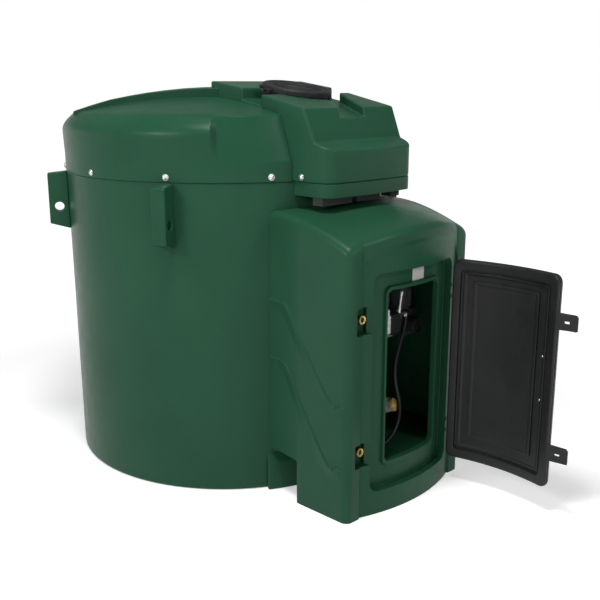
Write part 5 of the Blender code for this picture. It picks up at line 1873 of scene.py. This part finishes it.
    def build_hose(self, swivel: Piece) -> None:
        """Make the delivery hose as one curve from the pump to the nozzle.

        Args:
            swivel: The swivel on its far end; not used.
        """
        curve = bpy.data.curves.new("delivery_hose_line", "CURVE")
        curve.dimensions = "3D"
        curve.bevel_depth = self.hose_radius
        curve.bevel_resolution = self.hose_bevel
        curve.use_fill_caps = True
        spline = curve.splines.new("POLY")
        path = self.hose_path()
        spline.points.add(len(path) - 1)
        for target, point in zip(spline.points, path):
            target.co = (*point, 1.0)
        spline.use_smooth = True
        hose = bpy.data.objects.new("delivery_hose_line", curve)
        bpy.context.scene.collection.objects.link(hose)
        dress(hose, RUBBER, Part.TANK, ["delivery_hose"])
        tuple(self.route[0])

    def build_swivel(self) -> Piece:
        """Make the swivel that joins the hose to the nozzle.

        Returns:
            The swivel.
        """
        swivel = turned(self.swivel, self.nozzle_facets)
        bmesh.ops.translate(swivel, vec=self.nozzle_spot, verts=swivel.verts)
        return deliver("hose_swivel", swivel, ZINC)

    def build_nozzle(self) -> None:
        """Make the nozzle: its body with the spout, and the guard in front of it."""
        body = turned(self.gun, self.nozzle_facets)
        bmesh.ops.translate(body, vec=self.nozzle_spot, verts=body.verts)
        guard = block(*self.guard, self.guard_round)
        for end in self.guard_ends:
            stamp(guard, block(*end, self.guard_end_round), AS_IT_IS)
        stamp(body, guard, AS_IT_IS)
        deliver("nozzle_gun", body, ALUMINIUM, replaces=["nozzle"])

    def build_pump(self) -> None:
        """Make the bracket, the pump with its outlet, and what stands beside and on it."""
        stand = soften(node_shape("pump_bracket"), self.stand_round, 2)
        deliver("pump_stand", stand, ALUMINIUM, replaces=["pump_bracket"])
        body = block(*self.casing, self.casing_round, 4)
        front = self.casing[0][1]
        for x in self.bolt_grid[0]:
            for z in self.bolt_grid[1]:
                stamp(body, turned(self.bolt, self.bolt_sides), facing((x, front, z), FORWARD))
        deliver("pump_casing", body, PUMP_PAINT, replaces=["pump_body"])
        elbow = block(*self.elbow, self.elbow_round)
        stamp(elbow, turned(self.nut, self.bolt_sides), facing(self.nut_place, -UP))
        deliver("outlet_elbow", elbow, ZINC)
        self.build_fixtures()
        self.build_drive()

    def build_fixtures(self) -> None:
        """Make the nozzle's holder, the switch box and the bypass pipe."""
        holder = block(*self.holder, self.holder_round)
        stamp(holder, block(*self.holder_cap, self.holder_cap_round), AS_IT_IS)
        deliver("nozzle_holder", holder, PIPE_GREY)
        relay = block(*self.relay, self.relay_round)
        front = self.relay[0][1]
        for z in self.button_heights:
            stamp(relay, turned(self.button, self.button_facets), facing((self.button_x, front, z), FORWARD))
        stamp(relay, block(*self.link, self.link_round), AS_IT_IS)
        deliver("switch_box", relay, BLACK)
        bypass = turned(self.bypass, self.bypass_facets)
        bmesh.ops.transform(bypass, matrix=facing(self.bypass_place, self.bypass_axis), verts=bypass.verts)
        deliver("bypass_pipe", bypass, CHROME)

    def build_drive(self) -> None:
        """Make the finned motor, the meter and the hose saddle."""
        motor = turned(self.motor, self.round_facets)
        fin = block(*self.fin, self.fin_round, 1)
        for index in range(self.fins):
            stamp(motor, fin, Matrix.Rotation(2 * pi * index / self.fins, 4, "Z"))
        bmesh.ops.translate(motor, vec=self.motor_spot, verts=motor.verts)
        deliver("pump_drive", motor, PUMP_PAINT, replaces=["pump_motor"])
        meter = turned(self.meter, self.round_facets)
        bmesh.ops.transform(meter, matrix=facing(self.meter_place, FORWARD), verts=meter.verts)
        deliver("meter_case", meter, BLACK, replaces=["flow_meter"])
        saddle = soften(node_shape("hose_hook"), self.saddle_round, 2)
        deliver("hose_saddle", saddle, BLACK, replaces=["hose_hook"])

    def build_fill_point(self) -> None:
        """Make the filling pipe, its brass cap with two ears, and the cap's neck."""
        deliver("filling_pipe", node_shape("fill_pipe"), ALUMINIUM, replaces=["fill_pipe"])
        cap = turned(self.cap, self.round_facets)
        (across, along), (low, high) = self.ear_half, self.ear_heights
        for side in (1, -1):
            middle = self.cap_radius * side
            ear = block((-across, middle - along, low), (across, middle + along, high), self.ear_round)
            stamp(cap, ear, AS_IT_IS)
            ear.free()
        place = facing(self.cap_place, self.cap_axis, self.cap_turn)
        bmesh.ops.transform(cap, matrix=place, verts=cap.verts)
        deliver("filling_cap", cap, CAP_BRASS, replaces=["coupling_cap"])
        neck = turned(self.neck, self.neck_facets)
        bmesh.ops.transform(neck, matrix=place, verts=neck.verts)
        deliver("filling_elbow", neck, PIPE_GREY)


@dataclass
class SmallParts:
    """The packing blocks, the hinges and the bare plate."""

    packers: tuple[str, ...] = ("packer_left", "packer_middle", "packer_right")
    packer_round: float = 0.003
    hinges: tuple[str, ...] = ("hinge_upper", "hinge_lower")
    hinge_round: float = 0.0006
    hinge_angle: float = 60.0
    plate: Panel = Panel(-0.020, 0.080, 1.241, 1.307, 0.004, 1.0483)
    plate_section: Profile = ((0.0, 1.0483), (0.0, 1.0495), (0.001, 1.0503))

    def build(self) -> None:
        """Make the small parts."""
        for packer in self.packers:
            shape = soften(node_shape(packer), self.packer_round, 2)
            deliver(f"{packer}_block", shape, FOAM, replaces=[packer])
        for hinge in self.hinges:
            shape = soften(node_shape(hinge), self.hinge_round, 2, self.hinge_angle)
            deliver(f"{hinge}_block", shape, HINGE_STEEL, replaces=[hinge])
        rings = [self.plate.inset(margin, level).ring() for margin, level in self.plate_section]
        skin = Skin(rings[0]).close_arch().pull(*rings[1:]).close_arch()
        deliver("bare_plate", skin.done(), PLATE, replaces=["blank_plate"])


def write_sizes() -> None:
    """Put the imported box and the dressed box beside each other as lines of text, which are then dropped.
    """
    boxes = [[list(corner) for corner in pair] for pair in (CAD_BOX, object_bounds())]
    "\n".join(json.dumps(pair) for pair in boxes) + "\n"


def main() -> None:
    """Dress the tank, one sub-assembly after another."""
    logging.basicConfig(level=logging.INFO, format="%(name)s: %(message)s")
    Studio().build()
    Equipment().build()
    OuterTank().build()
    Roof().build()
    Fastening().build()
    Manhole().build()
    Cabinet().build()
    Locks().build()
    Door().build()
    SmallParts().build()
    write_sizes()


if __name__ == "__main__":
    main()
